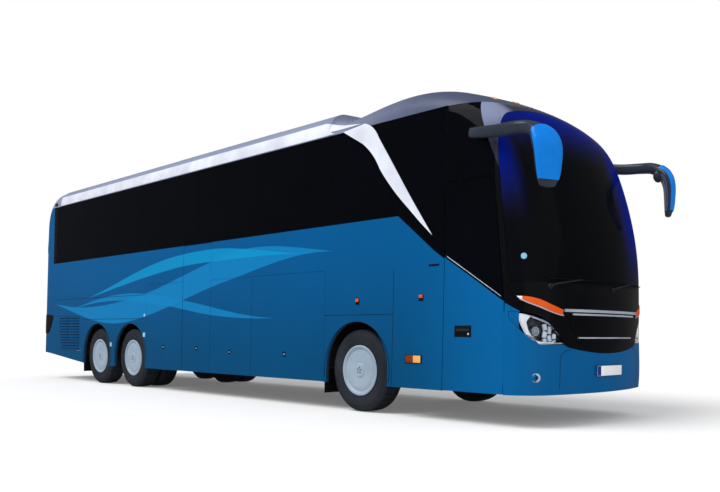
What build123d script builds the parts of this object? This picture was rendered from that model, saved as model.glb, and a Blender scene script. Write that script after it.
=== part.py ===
from build123d import *
from math import atan, atan2, cos, degrees, hypot, pi, radians, sin, tan
import os

# Three-axle high-deck coach. Millimetres, +X forward, +Y left, +Z up, z = 0 on the ground,
# x = 0 midway between the tail and the mirror heads.

# ---------------------------------------------------------------- driving dimensions
front_x = 6410           # foremost point of the bumper
rear_x = -6600           # tail, behind the engine
half_width = 1275        # at the skirt
eaves_half_width = 1205  # where the leaning side meets the roof curve
eaves_z = 3600
skirt_z = 350            # lower edge of the body
roof_z = 3914            # crown of the roof
wall = 45                # side, door and roof thickness
pane = 8                 # bonded glass
bond = 0.3               # adhesive line between a pane or trim and what carries it
seam = 0.3               # joint between fixed panels
shut = 6                 # joint round a door or flap
nose_pivot_x = 2990      # the nose is a fan of sections about a line here, at skirt height
tail_pivot_x = -5600     # the tail is a fan about this line
tail_split_x = -5900     # joint between the side walls and the tail

# Axles and wheels
front_axle_x = 3600
wheelbase = 6050
tag_spacing = 1340
tyre_r = 520
tyre_width = 295
rim_r = 292
track = 2120             # outer tyre centre to outer tyre centre
twin_spacing = 340
kingpin_y = 860
arch_r = 570
arch_rise = 40           # arch centre above the axle

# Levels of the side
waist_z = 1800
window_z = 2380
window_top_z = 3545
tail_skirt_z = 560
deck_z = 1640
deck_thickness = 60
driver_floor_z = 950
entry_floor_z = 440

# Doors
door_rear_x = 5060
door_front_x = 5910
door_belt_z = 1320       # where the door's front edge starts to lean back
door_top_front_x = 5740
door_top_z = 2670
belt_rear_z = 1830       # rear end of the sloping glass line on the door
mid_door_x = (-650, 200)
hinge_r = 4
hinge_gap = 0.5

drive_axle_x = front_axle_x - wheelbase
tag_axle_x = drive_axle_x - tag_spacing
lean = atan((half_width - eaves_half_width) / (eaves_z - skirt_z))
right, left = -1, 1

# z, setback of the centre line, plan radius of the corner, bow angle at the corner
nose_rows = (
    (skirt_z, 0, 450, 17),
    (1100, 0, 450, 17),
    (1800, 20, 450, 17),
    (2400, 120, 440, 16),
    (2900, 280, 420, 15),
    (3250, 450, 400, 13.5),
    (3500, 680, 370, 11),
    (3680, 980, 340, 8.5),
    (3800, 1330, 320, 6.5),
    (3885, 1950, 305, 4.8),
    (roof_z, front_x - nose_pivot_x, 300, 4),
)
tail_rows = (
    (2600, 30, 370, 5),
    (3000, 60, 360, 5),
    (3300, 120, 350, 4.8),
    (3550, 210, 335, 4.5),
    (3720, 340, 320, 4.3),
    (3840, 520, 310, 4.1),
    (3895, 760, 303, 4),
    (roof_z, tail_pivot_x - rear_x, 300, 4),
)
tail_dome_z = tail_rows[0][0]


# ---------------------------------------------------------------- body surfaces
def side_y(z, depth=0):
    """Distance of the leaning side from the centre line at height z, depth in from the skin."""
    return half_width - (z - skirt_z) * tan(lean) - depth / cos(lean)


def fan_rows(rows, reach, pivot_z):
    """Turn a table of rows into (angle about the pivot, radius, corner radius, bow)."""
    table = []
    for z, setback, corner, bow in rows:
        run = reach - setback
        angle = degrees(atan2(z - pivot_z, run))
        table.append((angle, hypot(z - pivot_z, run), corner, bow))
    return table


def fan_section(pivot, facing, angle, radius, corner, bow, inset, core):
    """One section of the nose or tail: leaning sides, round corners and a bowed middle."""
    pivot_x, pivot_z = pivot
    a = radians(angle)
    b = radians(bow)
    slope = sin(a) * tan(lean)
    slope_angle = atan(slope)
    half = side_y(pivot_z, inset)
    r = corner - inset
    top = radius - inset
    q = tan(b / 2)
    tangent_u = top + r * sin(slope_angle) - r * cos(b) - (half - r * cos(slope_angle) + r * sin(b)) * q
    tangent_u /= 1 - slope * q
    tangent_v = half - tangent_u * slope
    centre = (tangent_u - r * sin(slope_angle), tangent_v - r * cos(slope_angle))
    end = (centre[0] + r * cos(b), centre[1] + r * sin(b))
    middle = (pi / 2 - slope_angle + b) / 2
    mid = (centre[0] + r * cos(middle), centre[1] + r * sin(middle))
    base = half - core * slope
    plane = Plane(
        origin=(pivot_x, 0, pivot_z),
        x_dir=(facing * cos(a), 0, sin(a)),
        z_dir=(-facing * sin(a), 0, cos(a)),
    )
    with BuildSketch(plane) as sketch:
        with BuildLine():
            Line((core, base), (tangent_u, tangent_v))
            ThreePointArc((tangent_u, tangent_v), mid, end)
            ThreePointArc(end, (top, 0), (end[0], -end[1]))
            ThreePointArc((end[0], -end[1]), (mid[0], -mid[1]), (tangent_u, -tangent_v))
            Line((tangent_u, -tangent_v), (core, -base))
            Line((core, -base), (core, base))
        make_face()
    return sketch.sketch.face()


def fan_loft(rows, pivot, reach, facing, inset, core, under):
    """Loft the rows of a fan; an inset fan runs a little past both ends."""
    table = fan_rows(rows, reach, pivot[1])
    over = 2 if inset > 0 else 0
    table[0] = (table[0][0] - over * under,) + table[0][1:]
    table[-1] = (table[-1][0] + over,) + table[-1][1:]
    with BuildPart() as volume:
        loft([fan_section(pivot, facing, *row, inset, core) for row in table])
    return volume.part


def nose_volume(inset):
    """Nose, inset from its outer skin, without the space next to the pivot."""
    core = 1200 - 4 * max(inset, 0)
    return fan_loft(nose_rows, (nose_pivot_x, skirt_z), front_x - nose_pivot_x, 1, inset, core, 1)


def tail_volume(inset):
    """Tail: upright below, and a dome above that runs into the roof."""
    reach = tail_pivot_x - rear_x
    core = 300 - 2 * max(inset, 0)
    dome = fan_loft(tail_rows, (tail_pivot_x, tail_dome_z), reach, -1, inset, core, 0)
    low_z = skirt_z - (10 if inset > 0 else 0)
    setback, corner, bow = tail_rows[0][1:]
    with BuildPart() as upright:
        loft([
            fan_section((tail_pivot_x, z), -1, 0, reach - back, corner, bow, inset, core)
            for z, back in ((low_z, 0), (tail_dome_z, setback))
        ])
    return dome + upright.part


nose_outer = nose_volume(0)
nose_pane_back = nose_volume(pane)
nose_rebate = nose_volume(pane + bond)
nose_inner = nose_volume(wall)
nose_shell = nose_outer - nose_inner
nose_pane_shell = nose_outer - nose_pane_back
tail_outer = tail_volume(0)
tail_shell = tail_outer - tail_volume(wall)
tail_pane_shell = tail_outer - tail_volume(pane)


side_plane = Plane(
    origin=(0, side_y(0), 0),
    x_dir=(1, 0, 0),
    z_dir=(0, -cos(lean), -sin(lean)),
)


def outline(points):
    """A closed face from (x, z) corners; three numbers in a corner name a point on an arc."""
    with BuildSketch() as sketch:
        with BuildLine():
            corners = list(points) + [points[0]]
            index = 0
            while index < len(corners) - 1:
                here = corners[index]
                after = corners[index + 1]
                if len(after) == 3:
                    ThreePointArc(here[:2], after[:2], corners[index + 2][:2])
                    index += 2
                else:
                    Line(here[:2], after[:2])
                    index += 1
        make_face()
    return sketch.sketch


def plate(face, side, start=0, depth=wall):
    """A panel of the leaning side from a face in x and z, from one depth to another."""
    with BuildPart() as panel:
        with BuildSketch(side_plane.offset(start)):
            add(face)
        extrude(amount=depth - start)
    return panel.part if side > 0 else panel.part.mirror(Plane.XZ)


def across(face, low=-2000, high=2000):
    """A prism across the vehicle from a face in x and z."""
    with BuildPart() as prism:
        with BuildSketch(Plane(origin=(0, high, 0), x_dir=(1, 0, 0), z_dir=(0, -1, 0))):
            add(face)
        extrude(amount=high - low)
    return prism.part


def along(face, low, high):
    """A prism along the vehicle from a face in y and z."""
    with BuildPart() as prism:
        with BuildSketch(Plane(origin=(low, 0, 0), x_dir=(0, 1, 0), z_dir=(1, 0, 0))):
            add(face)
        extrude(amount=high - low)
    return prism.part


def block(x0, x1, y0, y1, z0, z1):
    """A plain box between two corners."""
    with BuildPart() as solid:
        with Locations(((x0 + x1) / 2, (y0 + y1) / 2, (z0 + z1) / 2)):
            Box(x1 - x0, y1 - y0, z1 - z0)
    return solid.part


def grow(face, amount):
    """A face with its edge moved out, or in where the amount is negative."""
    with BuildSketch() as sketch:
        add(face)
        offset(amount=amount, kind=Kind.INTERSECTION)
    return sketch.sketch


def rounded(points, radius):
    """A closed face with every corner rounded."""
    with BuildSketch() as sketch:
        add(outline(points))
        fillet(sketch.vertices(), radius)
    return sketch.sketch


def rod(start, end, radius):
    """A round bar between two points."""
    with BuildPart() as bar:
        axis = Vector(*end) - Vector(*start)
        with BuildSketch(Plane(origin=start, z_dir=axis)):
            Circle(radius)
        extrude(amount=axis.length)
    return bar.part


finished = []


def finish(part, name):
    """Label a piece and write it."""
    part.label = name
    finished.append(name)
    export_step(part, f"parts/{name}.step")


os.makedirs("parts", exist_ok=True)


# ---------------------------------------------------------------- outlines of the side
def rectangle(x0, x1, z0, z1):
    return outline([(x0, z0), (x1, z0), (x1, z1), (x0, z1)])


def arch(x):
    """Wheel arch: round above the axle, upright below."""
    centre_z = tyre_r + arch_rise
    return outline([
        (x - arch_r, skirt_z - 50), (x + arch_r, skirt_z - 50), (x + arch_r, centre_z),
        (x, centre_z + arch_r, 0), (x - arch_r, centre_z),
    ])


def belt_z(x):
    """Sloping glass line from the side windows down to the bumper."""
    return belt_rear_z + (x - door_rear_x) * (door_belt_z - belt_rear_z) / (door_front_x - door_rear_x)


cab_x = door_rear_x - shut
belt_kink_x = 4300
screen_base_z = 1530
screen_edge = ((5975, screen_base_z), (5656, 3642))
screen_top_angle = 51
flap_top_z = waist_z - 4

door_outline = outline([
    (door_rear_x, skirt_z), (door_front_x, skirt_z), (door_front_x, door_belt_z),
    (door_top_front_x, door_top_z), (door_rear_x, door_top_z),
])
side_outline = outline([
    (tail_split_x + seam, skirt_z), (cab_x - seam, skirt_z), (cab_x - seam, window_top_z),
    (tail_split_x + seam, window_top_z),
])
tail_cut = outline([
    (tag_axle_x - 350, skirt_z - 200), (tag_axle_x - 350, skirt_z), (-6060, 530), (rear_x, tail_skirt_z),
    (rear_x - 400, tail_skirt_z), (rear_x - 400, skirt_z - 200),
])

# Side panes: name, rear x, front x
pane_table = (
    ("rear", -5790, -4500),
    ("fifth", -4500, -3250),
    ("fourth", -3250, -1780),
    ("third", -1780, -220),
    ("second", -220, 1420),
    ("first", 1420, 3050),
)
pane_gap = 8
pillar = 55


def side_pane_outline(x0, x1):
    return rectangle(x0 + pane_gap / 2, x1 - pane_gap / 2, window_z, window_top_z - 5)


front_pane_outline = outline([
    (3050 + pane_gap / 2, window_z), (belt_kink_x, window_z), (belt_kink_x + 590, 1935),
    (cab_x - 4, belt_z(cab_x)), (cab_x - 4, window_top_z - 5),
    (3050 + pane_gap / 2, window_top_z - 5),
])
front_pane_hole = outline([
    (3050 + pillar, window_z + pillar), (belt_kink_x + 60, window_z + pillar),
    (door_rear_x - 120, 2130), (door_rear_x - 120, window_top_z - 70), (3050 + pillar, window_top_z - 70),
])
glass_outlines = [side_pane_outline(x0, x1) for _, x0, x1 in pane_table] + [front_pane_outline]
hole_outlines = [
    rounded([(x0 + pillar, window_z + pillar), (x1 - pillar, window_z + pillar),
             (x1 - pillar, window_top_z - 70), (x0 + pillar, window_top_z - 70)], 40)
    for _, x0, x1 in pane_table
] + [front_pane_hole]

# Luggage flaps: name, side, rear x, front x
flap_table = (
    ("flap_right_rear", right, -1860, -650),
    ("flap_right_middle", right, 200, 1310),
    ("flap_right_front", right, 1310, 2970),
    ("flap_left_rear", left, -1860, -300),
    ("flap_left_middle", left, -300, 1310),
    ("flap_left_front", left, 1310, 2970),
)
radiator_flap_x = (-5700, -4470)
radiator_flap_z = (600, 1290)
half_shut = shut / 2


# ---------------------------------------------------------------- sides
def hinge_bead(x0, x1, z, side):
    """Round bead on the skin, along the top joint of a flap."""
    y = side * side_y(z)
    return rod((x0, y, z), (x1, y, z), hinge_r)


def hinge_socket(x0, x1, z, side):
    y = side * side_y(z)
    return rod((x0 - 20, y, z), (x1 + 20, y, z), hinge_r + hinge_gap)


flap_hinge_z = waist_z - 3
radiator_hinge_z = radiator_flap_z[1] - 3


def side_wall(side):
    """One side wall with its arches, windows, flap and door openings and hinge beads."""
    wall_part = plate(side_outline, side)
    cut = [plate(arch(x), side, -20, wall + 20) for x in (front_axle_x, drive_axle_x, tag_axle_x)]
    cut.append(across(tail_cut))
    for pane_face, hole_face in zip(glass_outlines, hole_outlines):
        cut.append(plate(grow(pane_face, 3), side, -1, pane + bond))
        cut.append(plate(hole_face, side, -20, wall + 20))
    for _, flap_side, x0, x1 in flap_table:
        if flap_side == side:
            cut.append(plate(rectangle(x0, x1, skirt_z - 20, waist_z), side, -20, wall + 20))
    if side == right:
        cut.append(plate(rectangle(*mid_door_x, skirt_z - 20, window_z - 4), side, -20, wall + 20))
        cut.append(plate(rectangle(*radiator_flap_x, *radiator_flap_z), side, -20, wall + 20))
    for solid in cut:
        wall_part = wall_part - solid
    for _, flap_side, x0, x1 in flap_table:
        if flap_side == side:
            wall_part = wall_part + hinge_bead(x0 + shut, x1 - shut, flap_hinge_z, side)
    if side == right:
        wall_part = wall_part + hinge_bead(radiator_flap_x[0] + shut, radiator_flap_x[1] - shut,
                                           radiator_hinge_z, side)
    return wall_part


def luggage_flap(side, x0, x1):
    leaf = plate(rectangle(x0 + half_shut, x1 - half_shut, skirt_z + 5, flap_top_z), side)
    return leaf - hinge_socket(x0, x1, flap_hinge_z, side)


for side, name in ((right, "side_wall_right"), (left, "side_wall_left")):
    finish(side_wall(side), name)
for name, side, x0, x1 in flap_table:
    finish(luggage_flap(side, x0, x1), name)


# Hinged flap over the radiator
with BuildPart() as radiator_flap:
    add(plate(rectangle(radiator_flap_x[0] + half_shut, radiator_flap_x[1] - half_shut,
                        radiator_flap_z[0] + half_shut, radiator_flap_z[1] - half_shut - 1), right))
    add(hinge_socket(*radiator_flap_x, radiator_hinge_z, right), mode=Mode.SUBTRACT)
finish(radiator_flap.part, "radiator_flap")

# Mid door: swings on a bead up its front edge, which leans with the wall
def side_bead(x, z0, z1, side, radius):
    return rod((x, side * side_y(z0), z0), (x, side * side_y(z1), z1), radius)


with BuildPart() as mid_door:
    add(plate(rectangle(mid_door_x[0] + shut + 2, mid_door_x[1] - 4, skirt_z + 5, window_z - 4 - shut), right))
    add(side_bead(mid_door_x[1] - 3, skirt_z, window_z, right, hinge_r + hinge_gap), mode=Mode.SUBTRACT)
finish(mid_door.part, "mid_door")

# ---------------------------------------------------------------- glass of the sides
swoosh = outline([
    (2970, 3712), (3250, 3650), (3590, 3600), (3800, 3530, 0), (3930, 3380), (4190, 3020), (4490, 2600),
    (4860, 2110), (4670, 2270), (4420, 2500), (4030, 2905, 0), (3970, 2980), (3820, 3190, 0), (3630, 3350),
    (3250, 3560), (2970, 3560),
])

# Upper side panes of the nose, and the driver's window
upper_pane = outline([
    (door_rear_x + 5, door_top_z + shut + 4), (5747, door_top_z + shut + 4), (5664, window_top_z - 5),
    (door_rear_x + 5, window_top_z - 5),
])
upper_pane_inner = outline([
    (door_rear_x + 65, door_top_z + 110), (5640, door_top_z + 110), (5560, window_top_z - 75),
    (door_rear_x + 65, window_top_z - 75),
])
driver_pane = outline([
    (door_rear_x + 5, belt_z(door_rear_x) + 12), (door_front_x - 2, door_belt_z + 12),
    (5905, door_belt_z + 60), (5757, door_top_z - 4), (door_rear_x + 5, door_top_z - 4),
])
driver_pane_inner = outline([
    (door_rear_x + 75, belt_z(door_rear_x) + 130), (5790, 1560), (5690, door_top_z - 75),
    (door_rear_x + 75, door_top_z - 75),
])


flank_y = 1050           # what lies on one side of the nose is further out than this


def flank(face, side):
    """A prism across one side of the nose."""
    return across(face, -2000, -flank_y) if side < 0 else across(face, flank_y, 2000)


for side, name in ((right, "side_glass_right"), (left, "side_glass_left")):
    panes = [plate(face, side, 0, pane) for face in glass_outlines]
    panes.append(nose_pane_shell & flank(upper_pane, side))
    if side == left:
        panes.append(nose_pane_shell & flank(driver_pane, side))
    with BuildPart() as side_glass:
        add(panes)
    finish(side_glass.part, name)

# ---------------------------------------------------------------- windscreen and cab frame
far = 5000
ray_x = nose_pivot_x + far * cos(radians(screen_top_angle))
ray_z = skirt_z + far * sin(radians(screen_top_angle))
ray_roof_x = nose_pivot_x + (window_top_z - skirt_z) / tan(radians(screen_top_angle))
screen_outline = outline([
    screen_edge[0], (7600, screen_base_z), (7600, ray_z), (ray_x, ray_z), screen_edge[1],
])
screen_hole = grow(screen_outline, -70)
screen_pane = grow(screen_outline, -4)
windscreen = nose_pane_shell & across(screen_pane)
finish(windscreen, "windscreen")

cab_outline = outline([
    (cab_x, window_top_z), (cab_x, belt_z(cab_x) + seam), (door_front_x + shut, belt_z(door_front_x + shut) + seam),
    (door_front_x + shut, screen_base_z - seam), (7600, screen_base_z - seam), (7600, ray_z), (ray_x, ray_z),
    (ray_roof_x, window_top_z),
])
cab_frame = nose_shell & across(cab_outline)
door_gap = outline([
    (cab_x - 2, skirt_z - 50), (door_front_x + shut, skirt_z - 50), (door_front_x + shut, door_belt_z),
    (door_top_front_x + shut, door_top_z + shut), (cab_x - 2, door_top_z + shut),
])
cab_cuts = [flank(door_gap, right)]
pane_void = nose_outer - nose_rebate
for side in (right, left):
    cab_cuts.append(pane_void & flank(grow(upper_pane, 3), side))
    cab_cuts.append(flank(upper_pane_inner, side))
cab_cuts.append(pane_void & flank(grow(driver_pane, 3), left))
cab_cuts.append(flank(driver_pane_inner, left))
cab_cuts.append(pane_void & across(grow(screen_outline, 2)))
cab_cuts.append(across(screen_hole))
for solid in cab_cuts:
    cab_frame = cab_frame - solid
finish(cab_frame, "cab_frame")

# ---------------------------------------------------------------- lower front
lamp_outline = outline([
    (1250, 1228), (1185, 1010, 0), (1050, 880), (760, 880), (950, 1115, 0),
])
mask_face = outline([
    (1300, 1228), (1250, 1228), (950, 1115, 0), (760, 880), (700, 850), (0, 780, 0), (-700, 850), (-760, 880),
    (-950, 1115, 0), (-1250, 1228), (-1300, 1228), (-1300, screen_base_z - 2 * seam), (1300, screen_base_z - 2 * seam),
])
mask_side = outline([
    (door_front_x + shut, belt_z(door_front_x + shut)), (6075, 1228), (6075, screen_base_z - 2 * seam),
    (door_front_x + shut, screen_base_z - 2 * seam),
])
mask_zone = along(mask_face, 6075, 7000) + across(mask_side)
lamp_rear_x = 5960
lamp_zones = [along(lamp_outline, lamp_rear_x, 7000), along(lamp_outline.mirror(Plane.YZ), lamp_rear_x, 7000)]
front_region = outline([
    (cab_x, skirt_z), (7000, skirt_z), (7000, screen_base_z - 2 * seam),
    (door_front_x + shut, screen_base_z - 2 * seam), (door_front_x + shut, belt_z(door_front_x + shut)),
    (cab_x, belt_z(cab_x)),
])
front_all = nose_shell & across(front_region)
front_body = front_all - mask_zone
front_body = front_body - flank(door_gap, right)
front_mask = (front_all & mask_zone) - flank(door_gap, right)
lamps = []
for zone in lamp_zones:
    front_body = front_body - zone
    front_mask = front_mask - zone
lamp_rebate = nose_volume(4)
lamp_shell = lamp_rebate - nose_volume(wall + 60)
headlamps = [lamp_shell & along(grow(lamp_outline, -bond), lamp_rear_x + bond, 7000)]
headlamps.append(headlamps[0].mirror(Plane.XZ))
finish(front_mask, "front_mask")
with BuildPart() as headlamp_pair:
    add(headlamps)
finish(headlamp_pair.part, "headlamps")

# ---------------------------------------------------------------- front door
front_hinge_x = door_front_x + 3
corner_sag = 6.5         # how far the round corner has fallen in at the door's front edge
front_hinge_z = (450, 1220)
door_relief = 6          # set-back of the door's front edge above its hinge


def door_bead(radius, grow_by=0):
    ends = []
    for z in (front_hinge_z[0] - grow_by, front_hinge_z[1] + grow_by):
        ends.append((front_hinge_x, -(side_y(z) - corner_sag), z))
    return rod(*ends, radius)


door_leaf_outline = outline([
    (door_rear_x + 2, skirt_z + 5), (door_front_x, skirt_z + 5), (door_front_x, front_hinge_z[1] + 5),
    (door_front_x - door_relief, front_hinge_z[1] + 5), (door_front_x - door_relief, door_belt_z),
    (door_top_front_x, door_top_z), (door_rear_x + 2, door_top_z),
])
door_pane = outline([
    (door_rear_x + 12, belt_z(door_rear_x) + 12), (door_front_x - 2 * door_relief, door_belt_z + 18),
    (door_top_front_x - 8, door_top_z - 8), (door_rear_x + 12, door_top_z - 8),
])
door_pane_inner = outline([
    (door_rear_x + 80, belt_z(door_rear_x) + 110), (door_front_x - 120, door_belt_z + 200),
    (door_top_front_x - 70, door_top_z - 80), (door_rear_x + 80, door_top_z - 80),
])
front_door = nose_shell & flank(door_leaf_outline, right)
front_door = front_door - (pane_void & flank(grow(door_pane, 3), right))
front_door = front_door - flank(door_pane_inner, right)
front_door = front_door - door_bead(hinge_r + hinge_gap, 600)
finish(front_door, "front_door")
finish(nose_pane_shell & flank(door_pane, right), "front_door_glass")
front_body = front_body + door_bead(hinge_r)

# Screw socket for the towing eye, a block of its own in a square window, and the flat seat of the number plate
tow_y, tow_z = -1090, 535
tow_boss_r = 42
tow_bore_r = 18
tow_block_half = 55      # half the width of the block round the boss
tow_x = (6100, 6214)     # the boss runs from behind the wall to the skin
plate_seat = (520, 112)  # width and height of the number plate
plate_z = 590
plate_face_x = front_x + 18


def tow_prism(half):
    return block(tow_x[0] - 50, front_x, tow_y - half, tow_y + half, tow_z - half, tow_z + half)


tow_socket = front_body & tow_prism(tow_block_half - bond)
tow_socket = tow_socket - rod((tow_x[1], tow_y, tow_z), (front_x, tow_y, tow_z), tow_boss_r)
tow_socket = tow_socket + rod((tow_x[0], tow_y, tow_z), (tow_x[1], tow_y, tow_z), tow_boss_r)
tow_socket = tow_socket - rod((tow_x[0] - 5, tow_y, tow_z), (tow_x[1] + 5, tow_y, tow_z), tow_bore_r)
front_body = front_body - tow_prism(tow_block_half)
front_body = front_body + (block(front_x - 60, plate_face_x, -plate_seat[0] / 2, plate_seat[0] / 2,
                                 plate_z - plate_seat[1] / 2, plate_z + plate_seat[1] / 2) - nose_pane_back)
with BuildPart() as lower_front:
    add([front_body, tow_socket])
finish(lower_front.part, "front_body")

# ---------------------------------------------------------------- roof
def mid_volume(inset):
    """Straight middle of the body above the window line."""
    with BuildPart() as volume:
        section = fan_section((nose_pivot_x, skirt_z), 1, 90, roof_z - skirt_z, 300, 4, inset,
                              1200 - 4 * max(inset, 0))
        extrude(section, amount=nose_pivot_x - tail_pivot_x, dir=(-1, 0, 0))
    return volume.part


mid_outer = mid_volume(0)
mid_shell = mid_outer - mid_volume(wall)
roof_edge_z = window_top_z + seam
roof_cap = outline([
    (nose_pivot_x + seam, roof_edge_z), (ray_roof_x - seam, roof_edge_z), (ray_x - 2 * seam, ray_z),
    (nose_pivot_x + seam, ray_z),
])
roof_panel = mid_shell & across(rectangle(tail_pivot_x, nose_pivot_x, roof_edge_z, 4200))
hatch_table = (("roof_hatch_front", 2150), ("roof_hatch_rear", -2650))
hatch_size = 700
hatch_rim = 50
hatch_seat_z = roof_z + 14
hatch_thickness = 26
for name, x in hatch_table:
    half = hatch_size / 2
    clear = half - hatch_rim
    roof_panel = roof_panel + block(x - half, x + half, -half, half, roof_z - 40, hatch_seat_z)
    roof_panel = roof_panel - block(x - clear, x + clear, -clear, clear, roof_z - 100, hatch_seat_z + 50)
    roof_panel = roof_panel + rod((x - half, -half + 60, hatch_seat_z), (x - half, half - 60, hatch_seat_z), hinge_r)
    with BuildPart() as hatch:
        with Locations((x, 0, hatch_seat_z + bond + hatch_thickness / 2)):
            Box(hatch_size, hatch_size, hatch_thickness)
        fillet(hatch.edges().filter_by(Axis.Z), 60)
        chamfer(hatch.faces().sort_by(Axis.Z)[-1].edges(), 10)
        add(rod((x - half, -half, hatch_seat_z), (x - half, half, hatch_seat_z), hinge_r + hinge_gap),
            mode=Mode.SUBTRACT)
    finish(hatch.part, name)
roof_panel = roof_panel + (tail_shell & across(rectangle(rear_x - 100, tail_pivot_x, roof_edge_z, 4200)))
with BuildPart() as roof:
    add(roof_panel)
    add(nose_shell & across(roof_cap))
finish(roof.part, "roof_panel")

aircon_x = (-1750, 1450)
aircon_half_width = 800
aircon_z = roof_z + 60
with BuildPart() as roof_aircon:
    with BuildSketch(Plane.XY.offset(roof_z - 60)):
        RectangleRounded(aircon_x[1] - aircon_x[0], 2 * aircon_half_width, 150)
    extrude(amount=aircon_z - roof_z + 60)
    chamfer(roof_aircon.faces().sort_by(Axis.Z)[-1].edges(), 40)
aircon_at = (aircon_x[0] + aircon_x[1]) / 2
finish(roof_aircon.part.moved(Location((aircon_at, 0, 0))) - mid_volume(-bond), "roof_aircon")

# Bright strip along the roof edge and the swoosh that runs down behind the door
trim_proud = 6
strip = outline([
    (tail_pivot_x + 5, 3556), (nose_pivot_x, 3556), (nose_pivot_x, 3705), (2900, 3730), (tail_pivot_x + 5, 3730),
])
trim_layer_mid = mid_volume(-trim_proud) - mid_volume(-bond)
trim_layer_nose = nose_volume(-trim_proud) - nose_volume(-bond)
trim_part = (trim_layer_mid & across(strip)) + (trim_layer_mid & across(swoosh)) + (trim_layer_nose & across(swoosh))
side_slab = rectangle(tail_pivot_x, cab_x, waist_z, eaves_z)
for side in (right, left):
    trim_part = trim_part - plate(side_slab, side, -bond, wall)
finish(trim_part, "roofline_trim")

# ---------------------------------------------------------------- tail
tail_region = rectangle(rear_x - 200, tail_split_x, skirt_z, window_top_z)
rear_mask = (tail_shell & across(tail_region)) - across(tail_cut)
rear_pane = rounded([(-930, 2250), (930, 2250), (900, 3280), (-900, 3280)], 80)
lid_y = 880
lid_z = (770, 1880)
lid_hinge_z = lid_z[1] + 3


def skin_x(volume, y, z, facing):
    """Where a line along the vehicle meets the skin."""
    probe = rod((facing * 5700, y, z), (facing * 7500, y, z), 0.5) & volume
    box = probe.bounding_box()
    return box.max.X if facing > 0 else box.min.X


lid_hinge_x = skin_x(tail_outer, 0, lid_hinge_z, -1)
lid_bead = rod((lid_hinge_x, -150, lid_hinge_z), (lid_hinge_x, 150, lid_hinge_z), hinge_r)
lid_socket = rod((lid_hinge_x, -170, lid_hinge_z), (lid_hinge_x, 170, lid_hinge_z), hinge_r + hinge_gap)
lid_face = outline([(-lid_y, lid_z[0]), (lid_y, lid_z[0]), (lid_y, lid_z[1]), (-lid_y, lid_z[1])])
tail_lamp = outline([(1300, 1330), (1000, 1330), (1040, 960), (1300, 930)])
tail_lamp_zone = along(tail_lamp, -7000, -6300)
tail_lamp_zone = tail_lamp_zone + tail_lamp_zone.mirror(Plane.XZ)
rear_void = tail_outer - tail_volume(pane + bond)
rear_mask = rear_mask - (rear_void & along(grow(rear_pane, 3), -7000, -5950))
rear_mask = rear_mask - along(grow(rear_pane, -60), -7000, -5950)
rear_mask = rear_mask - along(outline([(-lid_y - shut, lid_z[0] - shut), (lid_y + shut, lid_z[0] - shut),
                                      (lid_y + shut, lid_z[1] + 4), (-lid_y - shut, lid_z[1] + 4)]), -7000, -5950)
rear_mask = rear_mask - tail_lamp_zone
rear_mask = rear_mask + (lid_bead)
finish(rear_mask, "rear_mask")
finish(tail_pane_shell & along(rear_pane, -7000, -5950), "rear_window")
finish((tail_shell & along(lid_face, -7000, -5950)) - lid_socket, "engine_lid")
tail_lamps = (tail_volume(3) - tail_volume(wall + 30)) & (
    along(grow(tail_lamp, -bond), -7000, -6300 - bond) + along(grow(tail_lamp, -bond), -7000, -6300 - bond).mirror(Plane.XZ))
finish(tail_lamps, "tail_lamps")

# ---------------------------------------------------------------- chassis
rail_y = (380, 470)
rail_z = (760, driver_floor_z - deck_thickness - bond)
housing_inner_y = 480
housing_top_z = 1150
housing_outer_y = side_y(housing_top_z + 10, wall) - bond
bay_x = (-1780, 2900)
bay_floor_z = (380, 420)
deck_half_width = side_y(deck_z, wall) - bond
housing_x = ((2940, 4260), (tag_axle_x - 660, -1820))
with BuildPart() as underframe:
    add(block(bay_x[0] - 40, bay_x[1] + 40, -1200, 1200, *bay_floor_z))
    for x in (bay_x[0] - 40, bay_x[1]):
        add(block(x, x + 40, -1200, 1200, bay_floor_z[0], deck_z - deck_thickness - bond))
    for sign in (right, left):
        for x0, x1 in ((bay_x[1], 5900), (-6350, bay_x[0])):
            ys = sorted((sign * rail_y[0], sign * rail_y[1]))
            add(block(x0, x1, *ys, *rail_z))
        for x0, x1 in housing_x:
            inner = sorted((sign * (housing_inner_y - 10), sign * housing_inner_y))
            full = sorted((sign * (housing_inner_y - 10), sign * housing_outer_y))
            add(block(x0, x1, *inner, 640, housing_top_z + 10))
            add(block(x0, x1, *full, housing_top_z, housing_top_z + 10))
            add(block(x0, x0 + 10, *full, 420, housing_top_z + 10))
            add(block(x1 - 10, x1, *full, 420, housing_top_z + 10))
    for x in (2940, 4260, 5000, 5820, -1900, -3160, -4460, -6350):
        add(block(x, x + 80, -rail_y[1], rail_y[1], *rail_z))
    for x in (-4460, -6350):
        for sign in (right, left):
            ys = sorted((sign * rail_y[0], sign * rail_y[1]))
            add(block(x, x + 80, *ys, rail_z[1] - 1, deck_z - deck_thickness - bond))
    for x in (-4700, -6200):
        add(block(x, x + 80, -rail_y[1], rail_y[1], 500, 560 - bond))
        for sign in (right, left):
            ys = sorted((sign * rail_y[0], sign * rail_y[1]))
            add(block(x, x + 80, *ys, 500, rail_z[0] + 1))
finish(underframe.part, "underframe")
finish(block(-6150, -4640, -370, 370, 560, 1500), "engine_block")

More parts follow.
